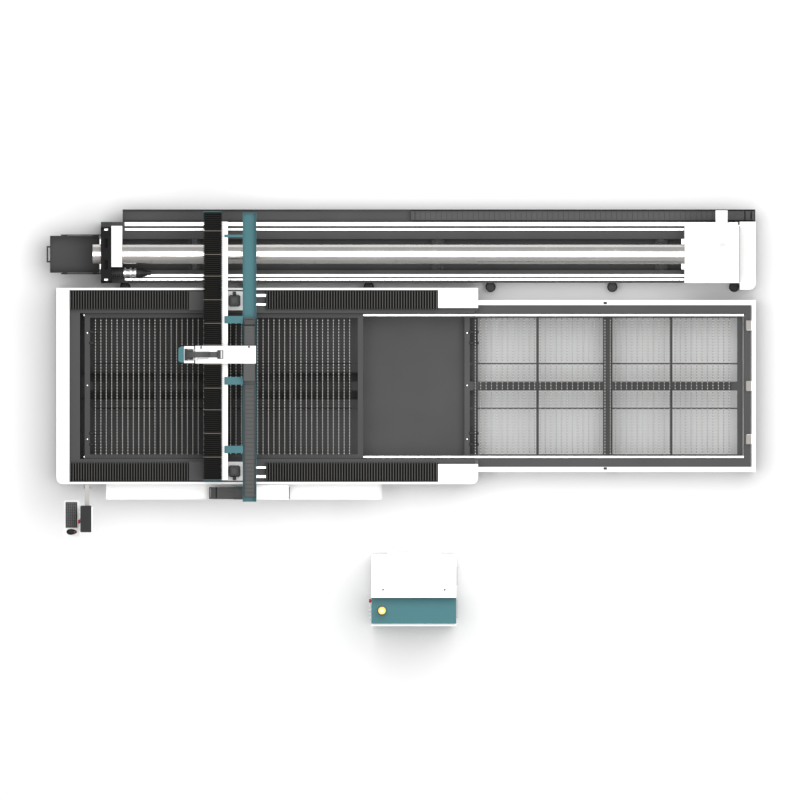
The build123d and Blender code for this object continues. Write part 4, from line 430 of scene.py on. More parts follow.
def folded_cloth(name, valley, crest, stay):
    """Coated cloth of the bellows: its own black in the folds, paler on the crests as a painted highlight,
    with pale stays.
    """
    material, tree, shader, place = new_material(name, valley, gloss=0.15)
    # the crests are painted paler than the black cloth, a painted highlight
    crest_highlight_mask = math_node(tree, "POWER", marked(tree, "fold"), CREST_HIGHLIGHT_POWER)
    colour = mixed(tree, marked(tree, "stay"), mixed(tree, crest_highlight_mask, valley, crest), stay)
    lay_coat(tree, shader, place, colour, drift=0.3, roughness=0.55, bump=0.12)
    return material


def toothed(name, body, tip):
    """Plasma-cut slats: dark scale on the plate, and pale tips on the teeth, a painted highlight where the
    tips catch the light.
    """
    material, tree, shader, place = new_material(name, body, gloss=0.3)
    # the tooth tips are painted pale, a painted highlight
    tip_highlight = math_node(tree, "POWER", marked(tree, "tip"), TIP_HIGHLIGHT_POWER)
    colour = mixed(tree, tip_highlight, body, tip)
    lay_brush(tree, shader, place, colour, ALONG_Z, strength=0.5, roughness=0.55, bump=0.05)
    return material


# Soot bands: axis, middle and reaches, about the upper pallet's middle and below its top
SOOT_HALF_LENGTHS = (1.55, 1.57)
SOOT_HALF_WIDTHS = (0.135, 0.155)
SOOT_DEPTHS = (0.018, 0.004)
HOPPER_SOOT = [
    (0, middle_of("upper_pallet_frame", 0), SOOT_HALF_LENGTHS),
    (1, middle_of("upper_pallet_frame", 1), SOOT_HALF_WIDTHS),
]
BEARER_SOOT = [(2, 0.0, [corner("upper_pallet_frame", 1, 2) - depth for depth in SOOT_DEPTHS])]

# Finishes by name: those of the record's material slots, and those of single pieces
COATS = {
    "white_paint": dict(colour=WHITE_PAINT, roughness=0.42, drift=0.02),
    "dark_paint": dict(colour=DARK_PAINT, roughness=0.55, drift=0.12, gloss=0.3),
    "teal_paint": dict(colour=TEAL_PAINT, roughness=0.5, drift=0.06, gloss=0.3),
    "chain_plastic": dict(colour=CHAIN_GREY, roughness=0.6, drift=0.12, bump=0.08, gloss=0.25),
    "motor_black": dict(colour=MOTOR_BLACK, roughness=0.45, drift=0.2, gloss=0.3),
    "console_black": dict(colour=CONSOLE_BLACK, roughness=0.55, drift=0.15, bump=0.12, gloss=0.3),
    "bracket_grey": dict(colour=BRACKET_GREY, roughness=0.5, drift=0.08),
    "arm_beige": dict(colour=ARM_BEIGE, roughness=0.45, drift=0.05),
    "chuck_black": dict(colour=CHUCK_BLACK, roughness=0.6, drift=0.2, gloss=0.1),
    "key_grey": dict(colour=KEY_GREY, roughness=0.6, drift=0.1, bump=0.08, gloss=0.3),
    "screen_glass": dict(colour=SCREEN_BLACK, roughness=0.12, drift=0.1, bump=0.0),
    "filter_grey": dict(colour=FILTER_GREY, roughness=0.5, drift=0.05),
    "stop_red": dict(colour=STOP_RED, roughness=0.25, drift=0.05, bump=0.02),
    "button_white": dict(colour=WHITE_PAINT, roughness=0.25, drift=0.02, bump=0.02),
    "lamp_yellow": dict(colour=LAMP_YELLOW, roughness=0.2, drift=0.05, bump=0.02),
    "floor_white": dict(colour=FLOOR_WHITE, roughness=0.9, drift=0.0, bump=0.0),
}
FINISHES = {
    "ground_steel": drawn("ground_steel", GROUND_STEEL, ALONG_X, roughness=0.32),
    "tube_steel": drawn("tube_steel", TUBE_STEEL, ALONG_TUBE, roughness=0.22, strength=0.16),
    "slat_steel": toothed("slat_steel", SLAT_STEEL, SLAT_TIP_HIGHLIGHT),
    "bellows_cloth": folded_cloth("bellows_cloth", BELLOWS_BLACK, BELLOWS_CREST_HIGHLIGHT, BELLOWS_FRAME),
    "hopper_paint": sooted("hopper_paint", HOPPER_GREY, SOOT, HOPPER_SOOT),
    "bearer_paint": sooted("bearer_paint", DARK_PAINT, SOOT, BEARER_SOOT),
}
FINISHES.update({name: coated(name, **look) for name, look in COATS.items()})
FINISHES["support_steel"] = FINISHES["dark_paint"]
OWN_FINISHES = {
    "console_bracket": "bracket_grey",
    "console_arm": "arm_beige",
    "front_chuck_plate": "chuck_black",
    "scrap_hopper": "hopper_paint",
    "upper_pallet_frame": "bearer_paint",
}


def dress_nodes():
    """Every node of the machine takes its own finish, or that of its material slot."""
    slots = {part["node"]: part["material_slot"] for part in frame["record"]["subparts"]}
    for name, node in frame["nodes"].items():
        node.data.materials.clear()
        node.data.materials.append(FINISHES[OWN_FINISHES.get(name, slots[name])])


dress_nodes()
bpy.context.view_layer.update()


# A piece on its body
def fitted(name, shape, body, slot, finish=None, smooth=False):
    """A new piece that rides a body, in its own finish or else in the finish named after the material slot.
    """
    piece = mesh_piece(name, shape, finish or slot, smooth)
    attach(piece, body)
    return piece


# Saw-toothed slats
TOOTH_PITCH = 0.033
TOOTH_DEPTH = 0.026
TOOTH_TIP_SHARE = 0.34
SLAT_PITCH = 0.0606
SLAT_THICKNESS = 0.0065
PALLETS = ("upper", "lower")


def toothed_slats(level):
    """Slats of one pallet: along each slat the top edge runs tip, tip, valley for every tooth.

    Stations along y carry a section of four corners, so a slat is a grid of stations by corners; the row of
    slats is that grid set down at every pitch along x.
    """
    low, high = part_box(f"{level}_pallet_slats")
    teeth = round((high[1] - low[1]) / TOOTH_PITCH)
    pitch = (high[1] - low[1]) / teeth
    place = np.array([0.0, TOOTH_TIP_SHARE, (1 + TOOTH_TIP_SHARE) / 2])
    drop = np.array([0.0, 0.0, TOOTH_DEPTH])
    along = (np.arange(teeth)[:, None] + place[None, :]).ravel() * pitch
    along = np.append(along, high[1] - low[1])
    top = np.append(np.tile(high[2] - drop, teeth), high[2])
    half = SLAT_THICKNESS / 2
    bottom = np.full_like(top, low[2])
    across = np.array([-half, half, half, -half])
    height = np.stack([bottom, bottom, top, top], axis=1)
    slat = np.empty((*height.shape, 3))
    slat[:, :, 0] = across
    slat[:, :, 1] = (low[1] + along)[:, None]
    slat[:, :, 2] = height
    count = round((high[0] - low[0]) / SLAT_PITCH) + 1
    shifts = np.zeros((count, 3))
    shifts[:, 0] = np.linspace(low[0] + half, high[0] - half, count)
    faces = np.concatenate([grid_faces(*height.shape, close_columns=True), end_caps(len(along))])
    shape = repeated(slat, faces, shifts)
    piece = fitted(f"{level}_toothed_slats", shape, f"{level}_pallet", "slat_steel")
    # the attribute tip marks the top corners at the tooth tips, where the slat material paints a highlight
    tip = np.append(np.tile(drop == 0, teeth), True)
    marks = tip[:, None] * np.array([0.0, 0.0, 1.0, 1.0])
    add_attribute(piece, "tip", np.tile(marks.ravel(), count))
    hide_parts(f"{level}_pallet_slats")


for level in PALLETS:
    toothed_slats(level)


# Pleated bellows
BELLOWS_WIDTH = 0.217
BELLOWS_HOOD = 0.257
BELLOWS_SHOULDER = 0.02
X_FOLD_PITCH = 0.03
Y_FOLD_PITCH = 0.022
X_FOLD_DEPTH = 0.034
Y_FOLD_DEPTH = 0.026
STAY_PITCH = 0.258
FEWEST_FOLDS = 2
FOLD_RISE_SHARES = (0.0, 0.92, 1.0, 0.08)
# the cross beam's bellows get a weaker painted crest highlight
Y_CREST_HIGHLIGHT_SHARE = 0.55
SIDE_DRAW_SHARE = 0.55
CARRIAGE_WIDTH = 0.196
Y_BELLOWS_LAP = 0.016


def folded_cover(name, along, across, z, axis, pitch, depth, bodies, crest_highlight_share=1.0, stay_pitch=0.0):
    """A pleated cover: the section is an arch of flat top and sloped shoulders, carried along the travel.

    From station to station its height goes up and down by the fold's depth, in the shares of one fold's
    steps, and its sides draw in where it is low. The rise times the share of painted crest highlight goes
    into the attribute fold; the crest nearest to each stay place carries 1 in the attribute stay.
    """
    folds = max(FEWEST_FOLDS, round((along[1] - along[0]) / pitch))
    stations = len(FOLD_RISE_SHARES) * folds + 1
    station = along[0] + np.linspace(0, 1, stations) * (along[1] - along[0])
    rise = np.resize(FOLD_RISE_SHARES, stations)
    near, far = across
    flat = (near + BELLOWS_SHOULDER, far - BELLOWS_SHOULDER)
    inner = np.array([near, near, *flat, far, far])
    lift = np.array([0.0, 1.0, 1.0, 1.0, 1.0, 0.0])
    shoulder = np.array([0.0, BELLOWS_SHOULDER, 0.0, 0.0, BELLOWS_SHOULDER, 0.0])
    draw = np.array([1.0, 1.0, 0.0, 0.0, -1.0, -1.0]) * depth * SIDE_DRAW_SHARE
    top = z[1] - depth * (1 - rise)
    height = z[0] + lift[None, :] * (top[:, None] - z[0]) - shoulder[None, :]
    side = inner[None, :] + draw[None, :] * (1 - rise[:, None])
    lengthways = np.repeat(station[:, None], len(inner), axis=1)
    order = (lengthways, side, height) if axis == 0 else (side, lengthways, height)
    faces = grid_faces(stations, len(inner))
    if axis == 1:
        faces = faces[:, ::-1]
    piece = mesh_piece(name, (np.stack(order, axis=-1), faces), "bellows_cloth")
    # the attribute fold carries the share of painted crest highlight
    add_attribute(piece, "fold", np.repeat(rise * crest_highlight_share, len(inner)))
    stays = np.zeros(stations)
    if stay_pitch:
        nearest = np.round((station - along[0]) / stay_pitch) * stay_pitch + along[0]
        stays = (np.abs(station - nearest) < pitch / 2) * (rise == 1)
    add_attribute(piece, "stay", np.repeat(stays, len(inner)))
    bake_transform(piece)
    return piece


def x_bellows():
    """Covers over both rails: left ones from the bed's end to the saddle, right ones from its hood on."""
    low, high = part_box("x_bellows")
    before = (low[0], corner("gantry_saddles", 0, 0))
    after = (corner("gantry_saddles", 1, 0) + BELLOWS_HOOD, high[0])
    z = (low[2], high[2])
    size = (X_FOLD_PITCH, X_FOLD_DEPTH)
    sides = {"front": (low[1], low[1] + BELLOWS_WIDTH), "back": (high[1] - BELLOWS_WIDTH, high[1])}
    for side, across in sides.items():
        folded_cover(f"{side}_left_bellows", before, across, z, 0, *size, ("root", "gantry"))
        folded_cover(f"{side}_right_bellows", after, across, z, 0, *size, ("gantry", "root"))
    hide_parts("x_bellows")


def y_bellows():
    """Covers over the cross beam, from its front end to the carriage and from the carriage to its back."""
    low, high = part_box("y_bellows")
    carriage_back = corner("carriage_plate", 1, 1)
    front = (low[1], carriage_back - CARRIAGE_WIDTH)
    back = (carriage_back, high[1])
    across = (low[0], high[0] + Y_BELLOWS_LAP)
    z = (low[2], high[2])
    size = (Y_FOLD_PITCH, Y_FOLD_DEPTH)
    look = (Y_CREST_HIGHLIGHT_SHARE, STAY_PITCH)
    cover = folded_cover("cross_front_bellows", front, across, z, 1, *size, ("gantry", "carriage"), *look)
    folded_cover("cross_back_bellows", back, across, z, 1, *size, ("carriage", "gantry"), *look)
    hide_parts("y_bellows")


x_bellows()
y_bellows()


# Drag chains
LINK_PITCH = 0.06
LINK_PLATE = 0.012
LINK_BAR = 0.012
LINK_EDGE = 0.0009
LINK_LENGTH_SHARE = 0.982
LINK_BAR_SHARE = 0.985
CHAIN_ARM_LAP = 0.04
FEED_ARM_PLACE = 0.4195
CHAIN_GUARD_END = 0.15
FAR_AWAY = 1000.0
FEWEST_LINKS = 3
CHAIN_THICKNESS = {"x_drag_chain": 0.056, "y_drag_chain": 0.056, "feed_drag_chain": 0.06}


def link_shape(width, thick, pitch):
    """One link about its own centre: two side plates and a bar across the top and the bottom, along +x."""
    long = pitch * LINK_LENGTH_SHARE / 2
    side, half = width / 2, thick / 2
    inside = side - LINK_PLATE
    plates = [
        chamfered_box((-long, low, -half), (long, low + LINK_PLATE, half), LINK_EDGE)
        for low in (-side, inside)
    ]
    bar = long * LINK_BAR_SHARE
    bars = [
        chamfered_box((-bar, -inside, low), (bar, inside, low + LINK_BAR), LINK_EDGE)
        for low in (-half, half - LINK_BAR)
    ]
    return joined([*plates, *bars])


def links_along(path_places, path_turns, size, axis):
    """The link shape set down at every place of a path, turned in the path's own upright plane.

    Places are (along, height) pairs, and a turn of 0 keeps the link level. Along is x for axis 0 and y for
    axis 1.
    """
    points, faces = link_shape(*size)
    cos, sin = np.cos(path_turns)[:, None], np.sin(path_turns)[:, None]
    along = path_places[:, :1] + points[None, :, 0] * cos - points[None, :, 2] * sin
    height = path_places[:, 1:] + points[None, :, 0] * sin + points[None, :, 2] * cos
    across = np.repeat(points[None, :, 1], len(path_places), axis=0)
    order = (along, across, height) if axis == 0 else (-across, along, height)
    every_point = np.stack(order, axis=-1).reshape(-1, 3)
    step = np.arange(len(path_places)) * len(points)
    every_face = (faces[None, :, :] + step[:, None, None]).reshape(-1, 4)
    return every_point, every_face


def straight_places(start, end, level, longest):
    """Link centres from one place to another at a level, evenly spaced, and their pitch.

    There are as many links as the run has at its longest, so they stand closer together while it is short.
    """
    count = max(FEWEST_LINKS, round(longest / LINK_PITCH))
    share = (np.arange(count) + 0.5) / count
    return np.stack([start + share * (end - start), np.full(count, level)], axis=-1), abs(end - start) / count


def travel_of(joint):
    """Both ends of a joint's travel, from the record."""
    return next(each["range_m"] for each in frame["record"]["behaviour"]["joints"] if each["name"] == joint)


def drag_chain(node, axis, fixed_end, moving, joint):
    """A chain of three pieces: lower run, half-circle bend and upper run.

    The fixed end is one end of the node's box along the axis, and the bend's tip is the other. Each run's
    longest length, which sets its count of links, is its length at whichever end of the travel stretches it,
    with the bend moved half as far as the moving end.
    """
    low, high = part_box(node)
    fixed, tip = corner(node, fixed_end, axis), corner(node, 1 - fixed_end, axis)
    thick = CHAIN_THICKNESS[node]
    width = float(high[1 - axis] - low[1 - axis])
    radius = float(high[2] - low[2] - thick) / 2
    level = float(low[2]) + thick / 2
    way = 1.0 if tip > fixed else -1.0
    centre = tip - way * (radius + thick / 2)
    count = max(FEWEST_LINKS, round(math.pi * radius / LINK_PITCH))
    angle = (np.arange(count) + 0.5) / count * math.pi
    bend = np.stack([centre + way * radius * np.sin(angle), level + radius - radius * np.cos(angle)], axis=-1)
    halves = [end / 2 for end in travel_of(joint)]
    lower_most = max(abs(centre + half - fixed) for half in halves)
    upper_most = max(abs(moving + half - centre) for half in halves)
    lower, lower_pitch = straight_places(fixed, centre, level, lower_most)
    upper, upper_pitch = straight_places(centre, moving, level + 2 * radius, upper_most)
    runs = {
        "lower_run": (lower, 0.0, lower_pitch),
        "bend": (bend, way * angle, LINK_PITCH),
        "upper_run": (upper, 0.0, upper_pitch),
    }
    shift = np.zeros(3)
    shift[1 - axis] = middle_of(node, 1 - axis)
    sideways = np.zeros(3)
    sideways[1 - axis] = FAR_AWAY
    lengthways = np.zeros(3)
    lengthways[axis] = 1.0
    for run, (places, turn, pitch) in runs.items():
        turns = np.broadcast_to(turn, len(places))
        points, faces = links_along(places, turns, (width, thick, pitch), axis)
        piece = mesh_piece(f"{node}_{run}", (points + shift, faces), "chain_plastic")
        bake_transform(piece)
    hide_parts(node)


def all_drag_chains():
    """The moving ends: a guard plate on the cable tray, the carriage's arm and the rear chuck's feed arm."""
    guard = corner("cable_tray", 1, 0) + CHAIN_GUARD_END
    drag_chain("x_drag_chain", 0, 1, guard, "gantry_travel")
    arm = corner("carriage_plate", 0, 1) + CHAIN_ARM_LAP
    drag_chain("y_drag_chain", 1, 0, arm, "carriage_travel")
    feed = corner("rear_chuck_saddle", 0, 0) + FEED_ARM_PLACE
    drag_chain("feed_drag_chain", 0, 0, feed, "tube_feed")


all_drag_chains()


# Chain arch over the cutting head
ARCH_THICK = 0.034
ARCH_PITCH = 0.03
ARCH_LINKS = 14


def head_chain():
    """Links on half an ellipse from the head's cover to the carriage, each turned to the curve, and a leg."""
    low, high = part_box("z_drag_chain")
    foot = corner("head_cover", 1, 2)
    reach = float(high[0] - low[0] - ARCH_THICK) / 2
    centre, middle = middle_of("z_drag_chain", 0), middle_of("z_drag_chain", 1)
    rise = float(high[2]) - foot - ARCH_THICK / 2
    angle = math.pi * (1 - (np.arange(ARCH_LINKS) + 0.5) / ARCH_LINKS)
    places = np.stack([centre + reach * np.cos(angle), foot + rise * np.sin(angle)], axis=-1)
    turns = np.arctan2(-rise * np.cos(angle), reach * np.sin(angle))
    leg_count = max(1, round((foot - float(low[2])) / ARCH_PITCH))
    leg_height = foot - (np.arange(leg_count) + 0.5) * ARCH_PITCH
    leg = np.stack([np.full(leg_count, centre + reach), leg_height], axis=-1)
    places = np.concatenate([places, leg])
    turns = np.concatenate([turns, np.full(leg_count, -math.pi / 2)])
    points, faces = links_along(places, turns, (float(high[1] - low[1]), ARCH_THICK, ARCH_PITCH), 0)
    piece = mesh_piece("head_chain_arch", (points + np.array([0.0, middle, 0.0]), faces), "chain_plastic")
    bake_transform(piece)
    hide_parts("z_drag_chain")


head_chain()


# Bolts, caps and fittings that sit on the solids; a head's three sizes are its radius, height and edge
RAY_HEIGHT = 5.0
DOWN = (0.0, 0.0, -1.0)


def top_of(node, x, y):
    """Height of a node's upper surface at a place: the first hit of a ray sent straight down."""
    place = frame["nodes"][node].ray_cast((x, y, RAY_HEIGHT), DOWN)[1]
    return place[2]


def knob(radius, height, edge):
    """Profile of a round or many-sided head with a chamfered rim, closed at the bottom and the top."""
    return [(0.0, 0.0), (radius, 0.0), (radius, height - edge), (radius - edge, height), (0.0, height)]


def set_down(name, shape, node, places, body, slot, finish=None):
    """One shape at every (x, y) place, each standing on the node's surface there."""
    shifts = [(x, y, top_of(node, x, y)) for x, y in places]
    fitted(name, repeated(*shape, shifts), body, slot, finish)


def boxes(name, spans, edge, body, slot, finish=None):
    """Several chamfered boxes, each given by its low and high corners, as one piece."""
    shape = joined([chamfered_box(low, high, edge) for low, high in spans])
    fitted(name, shape, body, slot, finish)


# Pallet ends: bolts with washers, and the two pull lugs, measured from the pallet frame's low corner
BOLT = (0.009, 0.008, 0.002)
WASHER = (0.016, 0.003, 0.001)
PALLET_BOLTS_Y = (1.411, 0.822, 0.219)
END_BAR_MIDDLE = 0.03
LUG_REACH = (0.128, 0.16)
LUG_SPANS_Y = ((1.283, 1.437), (0.147, 0.301))
LUG_TOP_SHARE = 0.94
LUG_BASE = 0.008
LUG_ROOT = 0.05
LUG_EAR = 0.03
LUG_EDGE = 0.004


def pallet_ends(level):
    """Bolts stand on the end bar; each lug is a wall between slats with two ears, on tongues from the bar."""
    node = f"{level}_pallet_frame"
    body = f"{level}_pallet"
    start = corner(node, 0, 0)
    places = places_on(node, [END_BAR_MIDDLE], PALLET_BOLTS_Y)
    set_down(f"{level}_pallet_washers", turned(knob(*WASHER)), node, places, body, "motor_black")
    set_down(f"{level}_pallet_bolts", turned(knob(*BOLT), HEXAGON_TURNS), node, places, body, "ground_steel")
    bar_top = top_of(node, *places[0])
    top = bar_top + (corner(f"{level}_pallet_slats", 1, 2) - bar_top) * LUG_TOP_SHARE
    near, far = start + LUG_REACH[0], start + LUG_REACH[1]
    spans = []
    for low, high in np.array(LUG_SPANS_Y) + corner(node, 0, 1):
        spans.append(((near, low + LUG_EDGE, bar_top), (near + LUG_BASE, high - LUG_EDGE, top)))
        for y in (low, high - LUG_EAR):
            spans.append(((near, y, bar_top), (far, y + LUG_EAR, top)))
            spans.append(((start + LUG_ROOT, y, bar_top), (far, y + LUG_EAR, bar_top + LUG_BASE)))
    boxes(f"{level}_pallet_lugs", spans, LUG_EDGE, body, "console_black")


for level in PALLETS:
    pallet_ends(level)


# Rail bolts and foot caps of the tube bed, measured from its frame's low corner
RAIL_BOLT = (0.006, 0.0025, 0.001)
RAIL_BOLT_PITCH = 0.078
RAIL_BOLTS_X = (0.728, 7.568)
TUBE_RAILS_Y = (0.1016, 0.6683)
FOOT_CAP = [
    (0.0, 0.0), (0.058, 0.0), (0.058, 0.012), (0.05, 0.018),
    (0.044, 0.012), (0.028, 0.012), (0.024, 0.02), (0.0, 0.02),
]
FOOT_CAP_TURNS = 28
FOOT_CAPS_X = (0.72, 7.56)
FOOT_CAPS = 6
FOOT_CAP_Y = 0.024


def tube_bed_fittings():
    """Bolts at an even pitch along both rails, and a turned cap over every foot."""
    count = round((RAIL_BOLTS_X[1] - RAIL_BOLTS_X[0]) / RAIL_BOLT_PITCH)
    places = places_on("tube_bed_frame", np.linspace(*RAIL_BOLTS_X, count), TUBE_RAILS_Y)
    bolt = turned(knob(*RAIL_BOLT), HEXAGON_TURNS)
    set_down("tube_rail_bolts", bolt, "linear_rails", places, "root", "motor_black")
    caps = places_on("tube_bed_frame", np.linspace(*FOOT_CAPS_X, FOOT_CAPS), [FOOT_CAP_Y])
    cap = turned(FOOT_CAP, FOOT_CAP_TURNS)
    set_down("tube_foot_caps", cap, "tube_bed_frame", caps, "root", "motor_black")


tube_bed_fittings()


# Gantry drives: a round cap on each servo and a plug on its outer side
SERVO_CAP = [
    (0.0, 0.0), (0.036, 0.0), (0.036, 0.006), (0.03, 0.012), (0.012, 0.013), (0.01, 0.009), (0.0, 0.009),
]
SERVO_SIZE = 0.13
PLUG_HALF = 0.02
PLUG_REACH = 0.036
PLUG_Z_SHARES = (0.55, 0.85)
PLUG_EDGE = 0.006


def servo_details():
    """A turned cap on the middle of each servo's top and a plug box on each outer side."""
    low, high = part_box("x_servo_motors")
    x = middle_of("x_servo_motors", 0)
    z = [float(low[2] + share * (high[2] - low[2])) for share in PLUG_Z_SHARES]
    middles = (float(low[1]) + SERVO_SIZE / 2, float(high[1]) - SERVO_SIZE / 2)
    places = [(x, y) for y in middles]
    set_down("servo_caps", turned(SERVO_CAP, FINE_TURNS), "x_servo_motors", places, "gantry", "dark_paint")
    front = ((x - PLUG_HALF, low[1] - PLUG_REACH, z[0]), (x + PLUG_HALF, low[1] + PLUG_EDGE, z[1]))
    back = ((x - PLUG_HALF, high[1] - PLUG_EDGE, z[0]), (x + PLUG_HALF, high[1] + PLUG_REACH, z[1]))
    boxes("servo_plugs", [front, back], PLUG_EDGE, "gantry", "console_black")


servo_details()


# Cutting head and carriage fittings
BRACKET_INSET = 0.006
BRACKET_HALF = 0.066
BRACKET_PLATE = 0.01
CHEEK_START = 0.034
CHEEK = (0.016, 0.034)
CHEEK_EDGE = 0.006
STRIP_X, STRIP_BACK = (0.17, 0.325), (0.066, 0.13)
CLAMP_X, CLAMP_BACK = (0.258, 0.325), (0.048, 0.145)
RIDGE_X, RIDGE_BACK = (0.295, 0.315), (0.052, 0.141)
HUMP_X, HUMP_BACK = (0.03, 0.165), (0.139, 0.178)
STOP_X, STOP_BACK = (0.07, 0.084), (0.002, 0.032)
CATCH_X, CATCH_BACK = (0.601, 0.623), (0.003, 0.021)
ARM_X, ARM_BACK = (0.551, 0.678), (0.197, 0.393)
ARM_RISE, ARM_DEPTH, ARM_EDGE = 0.003, 0.021, 0.0015
STRIP_HEIGHT, CLAMP_HEIGHT, RIDGE_HEIGHT, HUMP_HEIGHT, STOP_HEIGHT = 0.014, 0.034, 0.038, 0.02, 0.024
SMALL_EDGE = 0.003
HUMP_EDGE = 0.009


def head_bracket():
    """Plate on the head's cover under the chain's end, with a rounded cheek on each side."""
    low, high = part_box("head_cover")
    middle, top = middle_of("head_cover", 1), float(high[2])
    x = (float(low[0]) + BRACKET_INSET, float(high[0]) - BRACKET_INSET)
    plate = ((x[0], middle - BRACKET_HALF, top), (x[1], middle + BRACKET_HALF, top + BRACKET_PLATE))
    boxes("head_chain_plate", [plate], SMALL_EDGE, "head", "motor_black")
    wide, tall = CHEEK
    cheeks = []
    for y in (middle - BRACKET_HALF, middle + BRACKET_HALF - wide):
        cheeks.append(((x[0] + CHEEK_START, y, top), (x[1], y + wide, top + tall)))
    boxes("head_chain_cheeks", cheeks, CHEEK_EDGE, "head", "filter_grey")


def on_carriage(x, back, height):
    """Corners of a box on the carriage: x from the plate's left end, back measured in from its back edge."""
    low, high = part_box("carriage_plate")
    first = (low[0] + x[0], high[1] - back[1], high[2])
    second = (low[0] + x[1], high[1] - back[0], high[2] + height)
    return first, second


def carriage_fittings():
    """Chain strip with its clamp and ridge, two stops, the chain arm's cover and the white hump."""
    strip = on_carriage(STRIP_X, STRIP_BACK, STRIP_HEIGHT)
    boxes("carriage_chain_strip", [strip], SMALL_EDGE, "carriage", "chain_plastic")
    clamp = on_carriage(CLAMP_X, CLAMP_BACK, CLAMP_HEIGHT)
    stop = on_carriage(STOP_X, STOP_BACK, STOP_HEIGHT)
    catch = on_carriage(CATCH_X, CATCH_BACK, STOP_HEIGHT)
    boxes("carriage_clamps", [clamp, stop, catch], SMALL_EDGE, "carriage", "motor_black")
    ridge = on_carriage(RIDGE_X, RIDGE_BACK, RIDGE_HEIGHT)
    boxes("carriage_clamp_ridge", [ridge], SMALL_EDGE, "carriage", "filter_grey")
    arm = on_carriage(ARM_X, ARM_BACK, ARM_RISE)
    arm = ((*arm[0][:2], arm[0][2] - ARM_DEPTH), arm[1])
    boxes("carriage_chain_cover", [arm], ARM_EDGE, "carriage", "chain_plastic")
    hump = on_carriage(HUMP_X, HUMP_BACK, HUMP_HEIGHT)
    boxes("carriage_hump", [hump], HUMP_EDGE, "carriage", "white_paint")


head_bracket()
carriage_fittings()


# Upturned ends of the tray's brackets, measured from the tray's low corner
TAB_X = (0.241, 0.255)
TAB_SPANS_Y = ((2.957, 2.985), (1.994, 2.076), (1.309, 1.395), (0.544, 0.626))
TAB_Z = (0.569, 0.597)


def bracket_tabs():
    """One small box per bracket, standing up at the tray's left edge."""
    start = low_corner("cable_tray")
    spans = []
    for low, high in TAB_SPANS_Y:
        spans.append((start + (TAB_X[0], low, TAB_Z[0]), start + (TAB_X[1], high, TAB_Z[1])))
    boxes("tray_bracket_tabs", spans, SMALL_EDGE, "gantry", "teal_paint")


bracket_tabs()


# Console: keys, mouse, screen and back plate, from the keyboard's low corner and the monitor's faces
KEY_ROWS, KEY_COLUMNS = 5, 15
KEYBOARD_LENGTH = 0.286
KEY_MARGIN = 0.008
KEY_ROW_SHARE, KEY_COLUMN_SHARE = 0.86, 0.82
KEY_RISES = (0.0155, 0.0225)
KEY_EDGE = 0.0016
MOUSE_PLACE = (0.068, 0.029, 0.0)
MOUSE_HALF = (0.057, 0.031)
MOUSE_NARROWING_SHARE = 0.22
MOUSE_TURNS = 32
MOUSE_RING_SHARES = (1.0, 1.03, 1.0, 0.88, 0.66, 0.35, 0.0)
MOUSE_RING_HEIGHTS = (0.0, 0.008, 0.016, 0.024, 0.0295, 0.032, 0.033)
MOUSE_LIGHT = (0.034, 0.0, 0.026)
LIGHT = (0.008, 0.005, 0.002)
SCREEN_X, SCREEN_INSET, SCREEN_HEIGHT = (0.0005, 0.0028), 0.014, 0.22
SCREEN_EDGE = 0.0008
BACK_PLATE_X, BACK_PLATE_INSET, BACK_PLATE_HEIGHT = (-0.002, 0.014), 0.01, 0.33


def keys():
    """Key caps: one cap about its own centre, set down on rows across and columns along the keyboard."""
    low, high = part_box("keyboard")
    row_pitch = float(high[0] - low[0] - 2 * KEY_MARGIN) / KEY_ROWS
    column_pitch = (KEYBOARD_LENGTH - 2 * KEY_MARGIN) / KEY_COLUMNS
    half = (row_pitch * KEY_ROW_SHARE / 2, column_pitch * KEY_COLUMN_SHARE / 2)
    bottom, top = (float(low[2]) + rise for rise in KEY_RISES)
    cap = chamfered_box((-half[0], -half[1], bottom), (half[0], half[1], top), KEY_EDGE)
    row = float(low[0]) + KEY_MARGIN + (np.arange(KEY_ROWS) + KEY_ROW_SHARE / 2) * row_pitch
    column = float(high[1]) - KEYBOARD_LENGTH + KEY_MARGIN + (np.arange(KEY_COLUMNS) + 0.5) * column_pitch
    x, y = np.meshgrid(row, column, indexing="ij")
    shifts = np.stack([x.ravel(), y.ravel(), np.zeros(x.size)], axis=-1)
    fitted("key_caps", repeated(*cap, shifts), "console", "chain_plastic", "key_grey")


def mouse():
    """Teardrop rings, wide at the palm and narrower at the buttons, drawn in ring by ring to the crown."""
    centre = low_corner("keyboard") + MOUSE_PLACE
    angle = np.linspace(0, 2 * math.pi, MOUSE_TURNS, endpoint=False)
    outline_x = MOUSE_HALF[0] * np.cos(angle)
    outline_y = MOUSE_HALF[1] * np.sin(angle) * (1 - MOUSE_NARROWING_SHARE * np.cos(angle))
    x = np.outer(MOUSE_RING_SHARES, outline_x)
    y = np.outer(MOUSE_RING_SHARES, outline_y)
    z = np.outer(MOUSE_RING_HEIGHTS, np.ones(MOUSE_TURNS))
    points = np.stack([x, y, z], axis=-1).reshape(-1, 3) + centre
    faces = grid_faces(len(x), MOUSE_TURNS, close_columns=True)[:, ::-1]
    fitted("mouse_shell", (points, faces), "console", "console_black", smooth=True)
    points, faces = turned(knob(*LIGHT))
    fitted("mouse_light", (points + centre + MOUSE_LIGHT, faces), "console", "stop_red")


def on_monitor(end, x, inset, height):
    """Corners of a plate on the monitor: x from its face at one end, inset from its sides and its top."""
    low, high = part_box("monitor")
    face, top = corner("monitor", end, 0), high[2] - inset
    return (face + x[0], low[1] + inset, top - height), (face + x[1], high[1] - inset, top)


